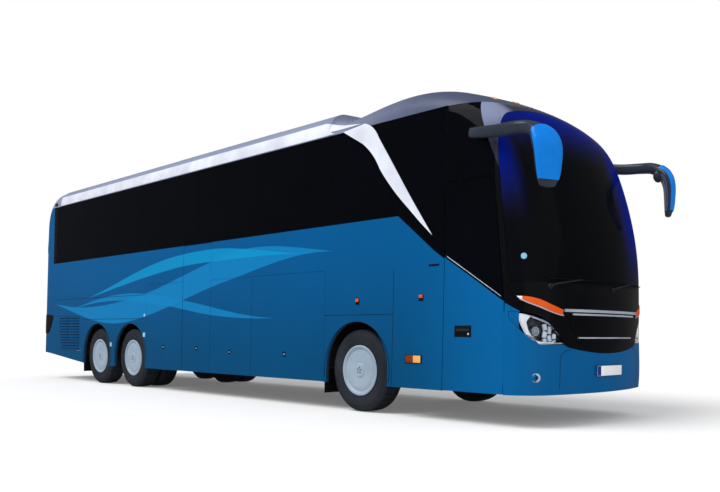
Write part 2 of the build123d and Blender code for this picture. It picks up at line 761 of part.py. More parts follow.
entry_y = (-1205, -480)
with BuildPart() as cabin_floor:
    add(block(-6140, 4400, -deck_half_width, deck_half_width, deck_z - deck_thickness, deck_z))
    add(block(mid_door_x[0] + 10, mid_door_x[1] - 10, -deck_half_width - 10, -480, deck_z - 200, deck_z + 50),
        mode=Mode.SUBTRACT)
    add(block(4340, 4400, -1195, 1195, driver_floor_z - deck_thickness, deck_z - 1))
    add(block(4390, 5900, entry_y[1] - 1, 1190, driver_floor_z - deck_thickness, driver_floor_z))
    add(block(5890, 6050, entry_y[1], 950, driver_floor_z - deck_thickness, driver_floor_z))
    add(block(4390, 5900, entry_y[1] - 20, entry_y[1], entry_floor_z - 60, driver_floor_z))
    add(block(door_rear_x - 40, 5900, *entry_y, entry_floor_z - 60, entry_floor_z))
    add(block(4390, door_rear_x, *entry_y, 640, 700))
    add(block(door_rear_x - 40, door_rear_x, *entry_y, entry_floor_z - 60, 700))
    add(block(4340, 4400, *entry_y, 640, driver_floor_z))
finish(cabin_floor.part, "cabin_floor")

# ---------------------------------------------------------------- axles and wheels
kingpin_r = 20
spindle_r = 45
rear_spindle_r = 60
bearing = 0.3
spring_y = 392
spindle_end = track / 2 + 80
lug = 40
boss_half = 60

with BuildPart() as front_axle:
    add(block(front_axle_x - 45, front_axle_x + 45, -kingpin_y, kingpin_y, tyre_r - 50, tyre_r + 50))
    for sign in (right, left):
        add(rod((front_axle_x, sign * kingpin_y, tyre_r - boss_half), (front_axle_x, sign * kingpin_y, tyre_r + boss_half), 42))
        add(rod((front_axle_x, sign * spring_y, tyre_r), (front_axle_x, sign * spring_y, rail_z[0] - bond), 42))
        add(rod((front_axle_x, sign * spring_y, tyre_r + 70), (front_axle_x, sign * spring_y, rail_z[0] - 30), 72))
    for sign in (right, left):
        add(rod((front_axle_x, sign * kingpin_y, 300), (front_axle_x, sign * kingpin_y, 700), kingpin_r + bearing),
            mode=Mode.SUBTRACT)
finish(front_axle.part, "front_axle")

for sign, name in ((right, "knuckle_right"), (left, "knuckle_left")):
    with BuildPart() as knuckle:
        y = sign * kingpin_y
        add(rod((front_axle_x, y, tyre_r - boss_half - 5 - lug), (front_axle_x, y, tyre_r + boss_half + 5 + lug), kingpin_r))
        for z in (tyre_r - boss_half - 5 - lug, tyre_r + boss_half + 5):
            add(rod((front_axle_x, y, z), (front_axle_x, y, z + lug), 45))
            add(block(front_axle_x - 45, front_axle_x + 45, *sorted((y, y + sign * 80)), z, z + lug))
        add(block(front_axle_x - 45, front_axle_x + 45, *sorted((y + sign * 48, y + sign * 80)),
                  tyre_r - boss_half - 5 - lug, tyre_r + boss_half + 5 + lug))
        add(rod((front_axle_x, y + sign * 60, tyre_r), (front_axle_x, sign * spindle_end, tyre_r), spindle_r))
    finish(knuckle.part, name)

with BuildPart() as rear_axles:
    for x, radius in ((drive_axle_x, 105), (tag_axle_x, 75)):
        add(rod((x, -560, tyre_r), (x, 560, tyre_r), radius))
        add(rod((x, -spindle_end, tyre_r), (x, spindle_end, tyre_r), rear_spindle_r))
        for sign in (right, left):
            add(rod((x, sign * spring_y, tyre_r), (x, sign * spring_y, rail_z[0] - bond), 42))
            add(rod((x, sign * spring_y, tyre_r + 70), (x, sign * spring_y, rail_z[0] - 30), 72))
    with Locations((drive_axle_x, 0, tyre_r)):
        Sphere(200)
finish(rear_axles.part, "rear_axles")


def tyre_ring(offset_w):
    with BuildPart() as tyre:
        with BuildSketch(Plane.YZ):
            with BuildLine():
                w = tyre_width / 2
                Line((offset_w - 112, rim_r + bond), (offset_w - 130, 310))
                ThreePointArc((offset_w - 130, 310), (offset_w - w, 405), (offset_w - 128, 500))
                Line((offset_w - 128, 500), (offset_w - 105, tyre_r))
                Line((offset_w - 105, tyre_r), (offset_w + 105, tyre_r))
                Line((offset_w + 105, tyre_r), (offset_w + 128, 500))
                ThreePointArc((offset_w + 128, 500), (offset_w + w, 405), (offset_w + 130, 310))
                Line((offset_w + 130, 310), (offset_w + 112, rim_r + bond))
                Line((offset_w + 112, rim_r + bond), (offset_w - 112, rim_r + bond))
            make_face()
        revolve(axis=Axis.Y)
    return tyre.part


def rim_body(bore, hub_in):
    with BuildPart() as rim:
        with BuildSketch(Plane.YZ):
            with BuildLine():
                Polyline(
                    (-112, rim_r), (112, rim_r), (112, 288), (136, 288), (136, 318), (142, 318), (147, 300),
                    (140, 280), (150, 0), (143, 0), (134, 270), (106, 270), (106, 278), (70, 278), (70, 130),
                    (84, 130), (84, bore), (hub_in, bore), (hub_in, 130), (56, 130), (56, 278), (-112, 278),
                    close=True,
                )
            make_face()
        revolve(axis=Axis.Y)
        if hub_in < -200:
            with BuildSketch(Plane.YZ):
                with BuildLine():
                    Polyline((-452, rim_r), (-228, rim_r), (-228, 120), (-242, 120), (-242, 278), (-452, 278), close=True)
                make_face()
            revolve(axis=Axis.Y)
    return rim.part


def wheel(x, sign, twin, bore, name):
    parts = [rim_body(bore + bearing, -420 if twin else -60), tyre_ring(0)]
    if twin:
        parts.append(tyre_ring(-twin_spacing))
    with BuildPart() as assembly:
        add(parts)
    part = assembly.part if sign > 0 else assembly.part.mirror(Plane.XZ)
    finish(part.moved(Location((x, sign * track / 2, tyre_r))), name)


for sign, end in ((right, "right"), (left, "left")):
    wheel(front_axle_x, sign, False, spindle_r, f"front_wheel_{end}")
    wheel(drive_axle_x, sign, True, rear_spindle_r, f"drive_wheel_{end}")
    wheel(tag_axle_x, sign, False, rear_spindle_r, f"tag_wheel_{end}")

# ---------------------------------------------------------------- mirrors and wipers
with BuildPart() as mirror:
    with BuildSketch(Plane(origin=(0, -1400, 0), x_dir=(1, 0, 0), z_dir=(0, -1, 0))):
        add(outline([(6290, 2980), (6420, 3120, 0), (6560, 2990), (6600, 2740, 0), (6560, 2430), (6400, 2540), (6330, 2700, 0)]))
    extrude(amount=-220)
    fillet(mirror.edges().filter_by(Axis.Y, reverse=True), 25)
    with BuildLine() as arm_path:
        ThreePointArc((5640, -1060, 3170), (6000, -1330, 3260), (6400, -1310, 3080))
    with BuildSketch(Plane(origin=arm_path.line @ 0, z_dir=arm_path.line % 0)):
        Ellipse(30, 55)
    sweep(path=arm_path.line)
mirror_right = mirror.part - nose_volume(-bond)
with BuildPart() as mirrors:
    add(mirror_right)
    add(mirror_right.mirror(Plane.XZ))
finish(mirrors.part, "mirrors")

wiper_layer = nose_volume(-24) - nose_volume(-5)
wiper_root = nose_volume(-24) - nose_volume(-bond)
wiper_parts = []
for y0, y1 in ((-980, -60), (60, 980)):
    blade = wiper_layer & along(outline([(y0, 1560), (y1, 1560), (y1, 1585), (y0, 1585)]), 5500, 7000)
    root = wiper_root & along(outline([(y0 + 20, 1480), (y0 + 60, 1480), (y0 + 60, 1575), (y0 + 20, 1575)]), 5500, 7000)
    wiper_parts.append(blade + root)
with BuildPart() as wipers:
    add(wiper_parts)
finish(wipers.part, "wipers")

# ---------------------------------------------------------------- cabin fittings
seat_pitch = 800
seat_profile = outline([
    (0, 380), (460, 400), (480, 440), (470, 490), (60, 470), (-130, 1130), (-200, 1160), (-250, 1120), (-60, 420),
])
row_x = [4000 - seat_pitch * i for i in range(13)]
seat_y = ((-1150, -700), (-690, -240), (240, 690), (700, 1150))


def seat_at(x, y0, y1, z):
    with BuildPart() as seat:
        with BuildSketch(Plane(origin=(x, y1, z), x_dir=(1, 0, 0), z_dir=(0, -1, 0))):
            add(seat_profile)
        extrude(amount=y1 - y0)
    return seat.part


seat_parts = []
for x in row_x:
    for side_seats in ((seat_y[0], seat_y[1]), (seat_y[2], seat_y[3])):
        over_stairs = side_seats[0][0] < 0 and x + 480 > mid_door_x[0] and x - 250 < mid_door_x[1]
        if over_stairs:
            continue
        pair = seat_at(x, *side_seats[0], deck_z) + seat_at(x, *side_seats[1], deck_z)
        low, high = side_seats[0][0] + 100, side_seats[1][1] - 100
        pair = pair + block(x + 60, x + 420, low, high, deck_z + 330, deck_z + 410)
        for y in (low, high - 60):
            pair = pair + block(x + 200, x + 280, y, y + 60, deck_z + bond, deck_z + 340)
        seat_parts.append(pair)
driver = seat_at(4740, 400, 880, driver_floor_z) + block(4800, 5060, 540, 740, driver_floor_z + bond, driver_floor_z + 400)
seat_parts.append(driver)
with BuildPart() as seats:
    add(seat_parts)
finish(seats.part, "seats")

with BuildPart() as dashboard:
    with BuildSketch(Plane(origin=(0, 1000, 0), x_dir=(1, 0, 0), z_dir=(0, -1, 0))):
        add(outline([(5700, driver_floor_z + bond), (5960, driver_floor_z + bond), (6020, 1480), (5850, 1530, 0),
                     (5640, 1440), (5620, 1360), (5700, 1300)]))
    extrude(amount=1400)
    add(rod((5720, 640, 1360), (5420, 640, 1500), 30))
    with BuildSketch(Plane(origin=(5420, 640, 1500), x_dir=(0, 1, 0), z_dir=(-300, 0, 140))):
        Circle(235)
        Circle(205, mode=Mode.SUBTRACT)
        Rectangle(420, 30)
    extrude(amount=24)
finish(dashboard.part, "dashboard")
print(len(finished), "written")
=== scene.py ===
"""Finished looks of a three-axle touring coach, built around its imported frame.

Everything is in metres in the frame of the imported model: +X forward, +Y to the vehicle's left,
+Z up, with z = 0 on the ground.
"""

import logging
import math
from collections.abc import Callable, Sequence
from dataclasses import dataclass
from enum import Enum

import bmesh
import bpy
from mathutils import Matrix, Vector
from mathutils.bvhtree import BVHTree


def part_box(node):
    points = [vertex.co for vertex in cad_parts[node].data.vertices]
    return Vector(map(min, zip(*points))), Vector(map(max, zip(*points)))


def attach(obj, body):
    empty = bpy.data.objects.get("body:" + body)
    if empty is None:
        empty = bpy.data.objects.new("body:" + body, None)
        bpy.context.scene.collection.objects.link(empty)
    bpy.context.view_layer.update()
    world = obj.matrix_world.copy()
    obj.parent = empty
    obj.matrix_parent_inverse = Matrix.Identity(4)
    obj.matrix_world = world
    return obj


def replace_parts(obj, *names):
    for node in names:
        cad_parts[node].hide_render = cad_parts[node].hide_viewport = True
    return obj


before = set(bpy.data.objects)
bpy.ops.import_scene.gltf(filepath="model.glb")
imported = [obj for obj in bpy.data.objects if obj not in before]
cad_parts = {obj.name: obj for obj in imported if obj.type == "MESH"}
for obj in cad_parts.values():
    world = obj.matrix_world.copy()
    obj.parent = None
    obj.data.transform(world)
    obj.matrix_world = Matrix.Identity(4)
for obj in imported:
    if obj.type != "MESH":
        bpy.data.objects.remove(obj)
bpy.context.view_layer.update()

BODY = "body"
SIDES = (("right", -1), ("left", 1))
AXLES = ("front", "drive", "tag")

log = logging.getLogger("coach")

Colour = tuple[float, float, float]
Point = tuple[float, float, float]
Flat = tuple[float, float]
Curve = Sequence[Flat]
Layout = tuple[int, float, float, float]
Ray = tuple[Vector, Vector]
View = Callable[[float, float], Ray]
Bend = Callable[[float, float, float], Vector]


def tone(red: int, green: int, blue: int) -> Colour:
    """Linear colour of an ordinary 0 to 255 screen colour.

    Args:
        red: Red, from 0 to 255.
        green: Green.
        blue: Blue.

    Returns:
        The linear colour.
    """
    def channel(value: int) -> float:
        """Linear value of one channel."""
        share = value / 255
        return share / 12.92 if share <= 0.04045 else ((share + 0.055) / 1.055) ** 2.4

    return channel(red), channel(green), channel(blue)


def mix(first: float, second: float, share: float) -> float:
    """Value a share of the way from the first to the second."""
    return first + (second - first) * share


# ---------------------------------------------------------------------------- shader tools
class Shade:
    """A material under construction, with short ways to add its nodes."""

    def __init__(self, name: str) -> None:
        """Start a material.

        Args:
            name: Name of the material.
        """
        self.material = bpy.data.materials.new(name)
        self.material.use_nodes = True
        self.tree = self.material.node_tree
        self.shader = self.tree.nodes["Principled BSDF"]
        self._place: tuple | None = None

    def node(self, kind: str) -> bpy.types.Node:
        """Add a node of one kind."""
        return self.tree.nodes.new(kind)

    def feed(self, socket: bpy.types.NodeSocket, value: object) -> None:
        """Set a socket to a value or link it to another socket.

        Args:
            socket: The input socket.
            value: A number, a colour or an output socket.
        """
        if isinstance(value, bpy.types.NodeSocket):
            self.tree.links.new(value, socket)
        elif isinstance(value, tuple) and len(value) == 3 and socket.type == "RGBA":
            socket.default_value = (*value, 1.0)
        else:
            socket.default_value = value

    def set(self, **inputs: object) -> None:
        """Feed the main shader's inputs, named in lower case with underscores.

        Args:
            **inputs: Values or sockets by the inputs' names.
        """
        names = {socket.name.lower().replace(" ", "_"): socket for socket in self.shader.inputs}
        for name, value in inputs.items():
            self.feed(names[name], value)

    def math(self, operation: str, first: object, second: object = 0.0,
             clamp: bool = False) -> bpy.types.NodeSocket:
        """Add a math node.

        Args:
            operation: Blender's name of the operation.
            first: First value or socket.
            second: Second value or socket.
            clamp: Whether the result is kept between 0 and 1.

        Returns:
            The result's socket.
        """
        node = self.node("ShaderNodeMath")
        node.operation = operation
        node.use_clamp = clamp
        self.feed(node.inputs[0], first)
        self.feed(node.inputs[1], second)
        return node.outputs[0]

    def place(self) -> tuple:
        """Sockets of the object position: x, y and z.

        Returns:
            The sockets of x, y, z and of all three together.
        """
        if self._place is None:
            where = self.node("ShaderNodeTexCoord")
            split = self.node("ShaderNodeSeparateXYZ")
            self.feed(split.inputs[0], where.outputs["Object"])
            self._place = (*split.outputs, where.outputs["Object"])
        return self._place

    def step(self, value: object, low: float, high: float) -> bpy.types.NodeSocket:
        """Smooth step of a value from 0 at low to 1 at high.

        Args:
            value: A socket.
            low: The lower end.
            high: The upper end.

        Returns:
            The socket of the step.
        """
        node = self.node("ShaderNodeMapRange")
        node.interpolation_type = "SMOOTHSTEP"
        self.feed(node.inputs["Value"], value)
        self.feed(node.inputs["From Min"], low)
        self.feed(node.inputs["From Max"], high)
        return node.outputs["Result"]

    def noise(self, scale: float, detail: float = 2.0, stretch: Point = (1, 1, 1)) -> bpy.types.NodeSocket:
        """Add a noise texture on the object position.

        Args:
            scale: Lumps per metre.
            detail: Octaves of finer lumps.
            stretch: Factors on the three axes.

        Returns:
            The socket of the noise value.
        """
        spread = self.node("ShaderNodeMapping")
        self.feed(spread.inputs["Vector"], self.place()[3])
        spread.inputs["Scale"].default_value = stretch
        node = self.node("ShaderNodeTexNoise")
        self.feed(node.inputs["Vector"], spread.outputs[0])
        self.feed(node.inputs["Scale"], scale)
        self.feed(node.inputs["Detail"], detail)
        return node.outputs[0]

    def blend(self, share: object, first: object, second: object) -> bpy.types.NodeSocket:
        """Colour a share of the way from the first to the second.

        Args:
            share: Number or socket.
            first: Colour at a share of 0.
            second: Colour at a share of 1.

        Returns:
            The socket of the colour.
        """
        node = self.node("ShaderNodeMix")
        node.data_type = "RGBA"  # its colours are inputs 6 and 7, its result is output 2
        self.feed(node.inputs[0], share)
        self.feed(node.inputs[6], first)
        self.feed(node.inputs[7], second)
        return node.outputs[2]

    def ramp(self, value: object, low: float, high: float) -> bpy.types.NodeSocket:
        """A noise value spread evenly over a range of numbers.

        Args:
            value: A noise socket.
            low: Number at the low end.
            high: Number at the high end.

        Returns:
            The socket of the number.
        """
        node = self.node("ShaderNodeMapRange")
        self.feed(node.inputs["Value"], value)
        self.feed(node.inputs["From Min"], 0.3)
        self.feed(node.inputs["From Max"], 0.7)
        self.feed(node.inputs["To Min"], low)
        self.feed(node.inputs["To Max"], high)
        return node.outputs["Result"]

    def bump(self, height: object, strength: float, distance: float) -> None:
        """Roughen the surface by a height in metres times distance.

        Args:
            height: The height's socket.
            strength: Share of the bump that shows.
            distance: Metres at a height of 1.
        """
        node = self.node("ShaderNodeBump")
        self.feed(node.inputs["Height"], height)
        self.feed(node.inputs["Strength"], strength)
        self.feed(node.inputs["Distance"], distance)
        self.feed(self.shader.inputs["Normal"], node.outputs[0])


# ---------------------------------------------------------------------------- finishes
@dataclass(frozen=True)
class Plain:
    """A solid finish: moulded plastic, rubber, chrome, painted steel."""

    colour: Colour
    variation: Colour
    roughness: Flat = (0.35, 0.5)
    metallic: float = 0.0
    gloss: float = 0.3
    grain: float = 60.0
    relief: float = 0.0

    def make(self, name: str) -> bpy.types.Material:
        """Build the material.

        Args:
            name: Name of the material.

        Returns:
            The material.
        """
        shade = Shade(name)
        lumps = shade.noise(self.grain, 4.0)
        shade.set(
            base_color=shade.blend(shade.ramp(shade.noise(3.0), 0, 1), self.colour, self.variation),
            roughness=shade.ramp(lumps, *self.roughness),
            metallic=self.metallic,
            specular_ior_level=self.gloss,
        )
        if self.relief:
            shade.bump(lumps, 0.5, self.relief)
        return shade.material


@dataclass(frozen=True)
class Ribbon:
    """A wavy stripe along the sides, thin at both ends."""

    colour: Colour
    base_z: float
    rise: float
    swing: float
    phase: float
    half_width: float
    start: float
    end: float
    waves: float = 0.62
    rise_length: float = 3.0
    rear_taper: float = 3.5
    front_taper: float = 2.6
    edge: float = 160.0

    def cover(self, shade: Shade) -> bpy.types.NodeSocket:
        """Share of the surface that the ribbon covers.

        Args:
            shade: The material it belongs to.

        Returns:
            The socket of the share.
        """
        x, _, z, _ = shade.place()
        turn = shade.math("SINE", shade.math("ADD", shade.math("MULTIPLY", x, self.waves), self.phase))
        level = shade.math("ADD", shade.math("MULTIPLY", turn, self.swing), self.base_z)
        level = shade.math("ADD", level, shade.math("MULTIPLY", x, self.rise / self.rise_length))
        away = shade.math("ABSOLUTE", shade.math("SUBTRACT", z, level))
        taper = shade.math("MULTIPLY", shade.step(x, self.start, self.start + self.rear_taper),
                           shade.step(x, self.end, self.end - self.front_taper))
        half = shade.math("MULTIPLY", taper, self.half_width)
        return shade.math("MULTIPLY", shade.math("SUBTRACT", half, away), self.edge, clamp=True)


@dataclass(frozen=True)
class CoachPaintAndPaintedLight:
    """Blue body paint with pale ribbons along the sides, dark trim on the inner faces, painted shade low down
    and painted light at the nose.
    """

    base: Colour = tone(0, 84, 140)
    # deep is painted shade low on the sides, bright is painted light towards the nose
    deep: Colour = tone(0, 70, 112)
    bright: Colour = tone(0, 102, 168)
    lining: Colour = tone(46, 48, 54)
    black: Colour = tone(9, 10, 13)
    ribbons: tuple[Ribbon, ...] = (
        Ribbon(tone(10, 126, 186), 1.72, 0.10, 0.30, 0.4, 0.20, -6.1, 3.3),
        Ribbon(tone(4, 142, 196), 1.98, 0.16, 0.20, 1.9, 0.10, -4.6, 2.7),
        Ribbon(tone(10, 126, 186), 1.40, 0.04, 0.24, 3.4, 0.075, -5.4, 2.2),
    )
    ribbon_strength: float = 0.8
    # heights over which the painted shade fades out, and where and how strongly painted light brightens the
    # nose
    painted_shade_z: Flat = (0.3, 2.4)
    painted_light_x: Flat = (4.2, 6.0)
    painted_light_strength: float = 0.6
    cloud: float = 0.12
    band_z: float = 2.377
    band_end: float = -5.93
    belt: Flat = (5.06, 1.842)
    steep: float = 0.9
    gentle: float = 0.6
    half_width: float = 1.2825
    side_lean: float = 0.02154
    wall: float = 0.04
    lined_x: float = 5.0

    def tint(self, shade: Shade) -> bpy.types.NodeSocket:
        """Blue with painted shade towards the foot and painted light towards the nose, under the ribbons.

        Args:
            shade: The material it belongs to.

        Returns:
            The socket of the colour.
        """
        x, _, z, _ = shade.place()
        cloud = shade.ramp(shade.noise(0.7, 3.0), -self.cloud, self.cloud)
        # painted shade at the foot lifts to the base blue with height; painted light brightens the nose
        lift = shade.math("ADD", shade.step(z, *self.painted_shade_z), cloud, clamp=True)
        ahead = shade.math("MULTIPLY", shade.step(x, *self.painted_light_x), self.painted_light_strength)
        colour = shade.blend(ahead, shade.blend(lift, self.deep, self.base), self.bright)
        for ribbon in self.ribbons:
            share = shade.math("MULTIPLY", ribbon.cover(shade), self.ribbon_strength)
            colour = shade.blend(share, colour, ribbon.colour)
        return colour

    def banded(self, shade: Shade) -> bpy.types.NodeSocket:
        """One above the window band's lower edge, which falls towards the nose in two slopes.

        Args:
            shade: The material it belongs to.

        Returns:
            The socket of the share.
        """
        x, _, z, _ = shade.place()
        ahead = shade.math("SUBTRACT", x, self.belt[0])
        steep, gentle = (shade.math("SUBTRACT", self.belt[1], shade.math("MULTIPLY", ahead, slope))
                         for slope in (self.steep, self.gentle))
        edge = shade.math("MINIMUM", shade.math("MAXIMUM", steep, gentle), self.band_z)
        above = shade.math("GREATER_THAN", z, edge)
        return shade.math("MULTIPLY", above, shade.math("GREATER_THAN", x, self.band_end))

    def lined(self, shade: Shade) -> bpy.types.NodeSocket:
        """One on the inner faces of the walls, which lean in with their height.

        Args:
            shade: The material it belongs to.

        Returns:
            The socket of the share.
        """
        x, y, z, _ = shade.place()
        reach = shade.math("SUBTRACT", self.half_width - self.wall * 0.55,
                           shade.math("MULTIPLY", z, self.side_lean))
        inner = shade.math("LESS_THAN", shade.math("ABSOLUTE", y), reach)
        return shade.math("MULTIPLY", inner, shade.math("LESS_THAN", shade.math("ABSOLUTE", x), self.lined_x))

    def make(self, name: str) -> bpy.types.Material:
        """Build the material.

        Args:
            name: Name of the material.

        Returns:
            The material.
        """
        shade = Shade(name)
        colour = shade.blend(self.banded(shade), self.tint(shade), self.black)
        shade.set(
            base_color=shade.blend(self.lined(shade), colour, self.lining),
            roughness=shade.ramp(shade.noise(900.0, 1.0), 0.2, 0.3),
            specular_ior_level=0.10,
        )
        return shade.material


@dataclass(frozen=True)
class PillarPaint:
    """Roof paint over the cab: silver pillars that turn dark downwards, black round the side glass."""

    pale: Colour = tone(128, 136, 166)
    dark: Colour = tone(44, 48, 60)
    black: Colour = tone(8, 9, 12)
    fade_z: Flat = (2.95, 3.4)
    black_z: Flat = (2.2, 3.0)
    side_y: Flat = (0.78, 0.98)
    edge_top: Flat = (5.44, 3.51)
    edge_slope: float = 0.46

    def pillar(self, shade: Shade) -> bpy.types.NodeSocket:
        """Share of the pillar's own colour, which starts at the slanted front edge of the side glass.

        Args:
            shade: The material it belongs to.

        Returns:
            The socket of the share.
        """
        x, _, z, _ = shade.place()
        top_x, top_z = self.edge_top
        ahead = shade.math("MULTIPLY", shade.math("SUBTRACT", top_z, z), self.edge_slope)
        return shade.math("GREATER_THAN", x, shade.math("ADD", ahead, top_x))

    def colour(self, shade: Shade) -> bpy.types.NodeSocket:
        """Colour of the pillar at each height.

        Args:
            shade: The material it belongs to.

        Returns:
            The socket of the colour.
        """
        _, y, z, _ = shade.place()
        low = shade.blend(shade.step(z, *self.black_z), self.black, self.dark)
        outer = shade.step(shade.math("ABSOLUTE", y), *self.side_y)
        return shade.blend(shade.math("MULTIPLY", shade.step(z, *self.fade_z), outer), low, self.pale)

    def make(self, name: str) -> bpy.types.Material:
        """Build the material.

        Args:
            name: Name of the material.

        Returns:
            The material.
        """
        shade = Shade(name)
        colour = shade.blend(self.pillar(shade), self.black, self.colour(shade))
        shade.set(base_color=colour, roughness=shade.ramp(shade.noise(40.0), 0.2, 0.3),
                  specular_ior_level=0.15)
        return shade.material


@dataclass(frozen=True)
class Pane:
    """Tinted glass, with an optional painted blue reflection along its top and side edges."""

    tint: Colour
    # colour of the painted blue reflection, and whether the pane has it
    painted_reflection_colour: Colour = (0, 0, 0)
    painted_reflection_on: bool = False
    painted_end: bool = False
    clear: float = 0.9
    gloss: float = 0.05
    # where the painted blue reflection lies: along the top, the right edge and the left edge
    top_z: Flat = (2.85, 3.5)
    right_y: Flat = (-1.02, -1.17)
    right_z: Flat = (2.1, 3.0)
    left_y: Flat = (0.32, 0.86)
    left_z: Flat = (1.4, 2.3)

    def painted_reflection_share(self, shade: Shade) -> bpy.types.NodeSocket:
        """Share of the painted blue reflection along the top and the two side edges.

        Args:
            shade: The material it belongs to.

        Returns:
            The socket of the share.
        """
        _, y, z, _ = shade.place()
        top = shade.math("MULTIPLY", shade.step(z, *self.top_z), 0.9)
        right = shade.math("MULTIPLY", shade.step(y, *self.right_y), shade.step(z, *self.right_z))
        left = shade.math("MULTIPLY", shade.step(y, *self.left_y), shade.step(z, *self.left_z))
        return shade.math("MAXIMUM", top, shade.math("MAXIMUM", left, right))

    def make(self, name: str) -> bpy.types.Material:
        """Build the material.

        Args:
            name: Name of the material.

        Returns:
            The material.
        """
        shade = Shade(name)
        thick = tuple(0.6 * channel for channel in self.tint)
        colour: object = shade.blend(shade.ramp(shade.noise(1.3, 1.0), 0, 0.4), self.tint, thick)
        clear: object = self.clear
        covers = []
        # painted blue reflection along the edges
        if self.painted_reflection_on:
            covers.append((self.painted_reflection_share(shade), self.painted_reflection_colour))
        if self.painted_end:
            pillar = PillarPaint()
            covers.append((pillar.pillar(shade), pillar.colour(shade)))
        for share, cover in covers:
            colour = shade.blend(share, colour, cover)
            clear = shade.math("MULTIPLY", shade.math("SUBTRACT", 1.0, share), self.clear)
        shade.set(
            base_color=colour, transmission_weight=clear, roughness=0.02, ior=1.12,
            specular_ior_level=self.gloss,
        )
        return shade.material


@dataclass(frozen=True)
class RoofPaintAndShade:
    """Silver roof paint, with painted shade that darkens it towards the windscreen."""

    pale: Colour = tone(138, 147, 174)
    # dark is painted shade at the roof's front
    dark: Colour = tone(72, 80, 106)
    painted_shade_x: Flat = (2.4, 5.2)

    def make(self, name: str) -> bpy.types.Material:
        """Build the material.

        Args:
            name: Name of the material.

        Returns:
            The material.
        """
        shade = Shade(name)
        x, _, _, _ = shade.place()
        cloud = shade.ramp(shade.noise(0.9, 3.0), -0.1, 0.1)
        # painted shade grows towards the windscreen
        share = shade.math("ADD", shade.step(x, *self.painted_shade_x), cloud, clamp=True)
        shade.set(base_color=shade.blend(share, self.pale, self.dark),
                  roughness=shade.ramp(shade.noise(60.0, 4.0), 0.28, 0.4), specular_ior_level=0.15)
        return shade.material


class Finish(Enum):
    """Finishes of the coach; the values name their materials."""

    PAINT = "paint_blue"
    GLOSS_BLACK = "black_gloss"
    SIDE_GLASS = "glass_dark"
    SCREEN = "windscreen_glass"
    ALUMINIUM = "aluminium"
    ROOF = "roof_paint"
    STEEL = "steel_dark"
    TYRE = "tyre"
    WHEEL = "wheel_silver"
    LAMP_CLEAR = "lamp_clear"
    LAMP_RED = "lamp_red"
    FABRIC = "seat_fabric"
    PLASTIC = "plastic_dark"
    FLOOR = "floor_lino"
    MIRROR = "mirror_shell"
    IRON = "cast_iron"
    CHROME = "chrome"
    AMBER = "lamp_amber"
    AMBER_DARK = "lamp_amber_dark"
    AMBER_PALE = "lamp_amber_pale"
    SEAL = "rubber_seal"
    LAMP_DARK = "lamp_bowl"
    LAMP_LENS = "lamp_lens"
    LAMP_COVER = "lamp_cover"
    PLATE = "plate_white"
    BAND = "plate_band"
    BLUE_GLOSS = "mirror_blue"
    MIRROR_GLASS = "mirror_glass"
    REFLECTOR = "reflector_pale"
    LAMP_GLOW = "lamp_running"
    PILLAR = "pillar_paint"
    LOUVRE = "louvre_blue"
    LAMP_SMOKED = "lamp_smoked"


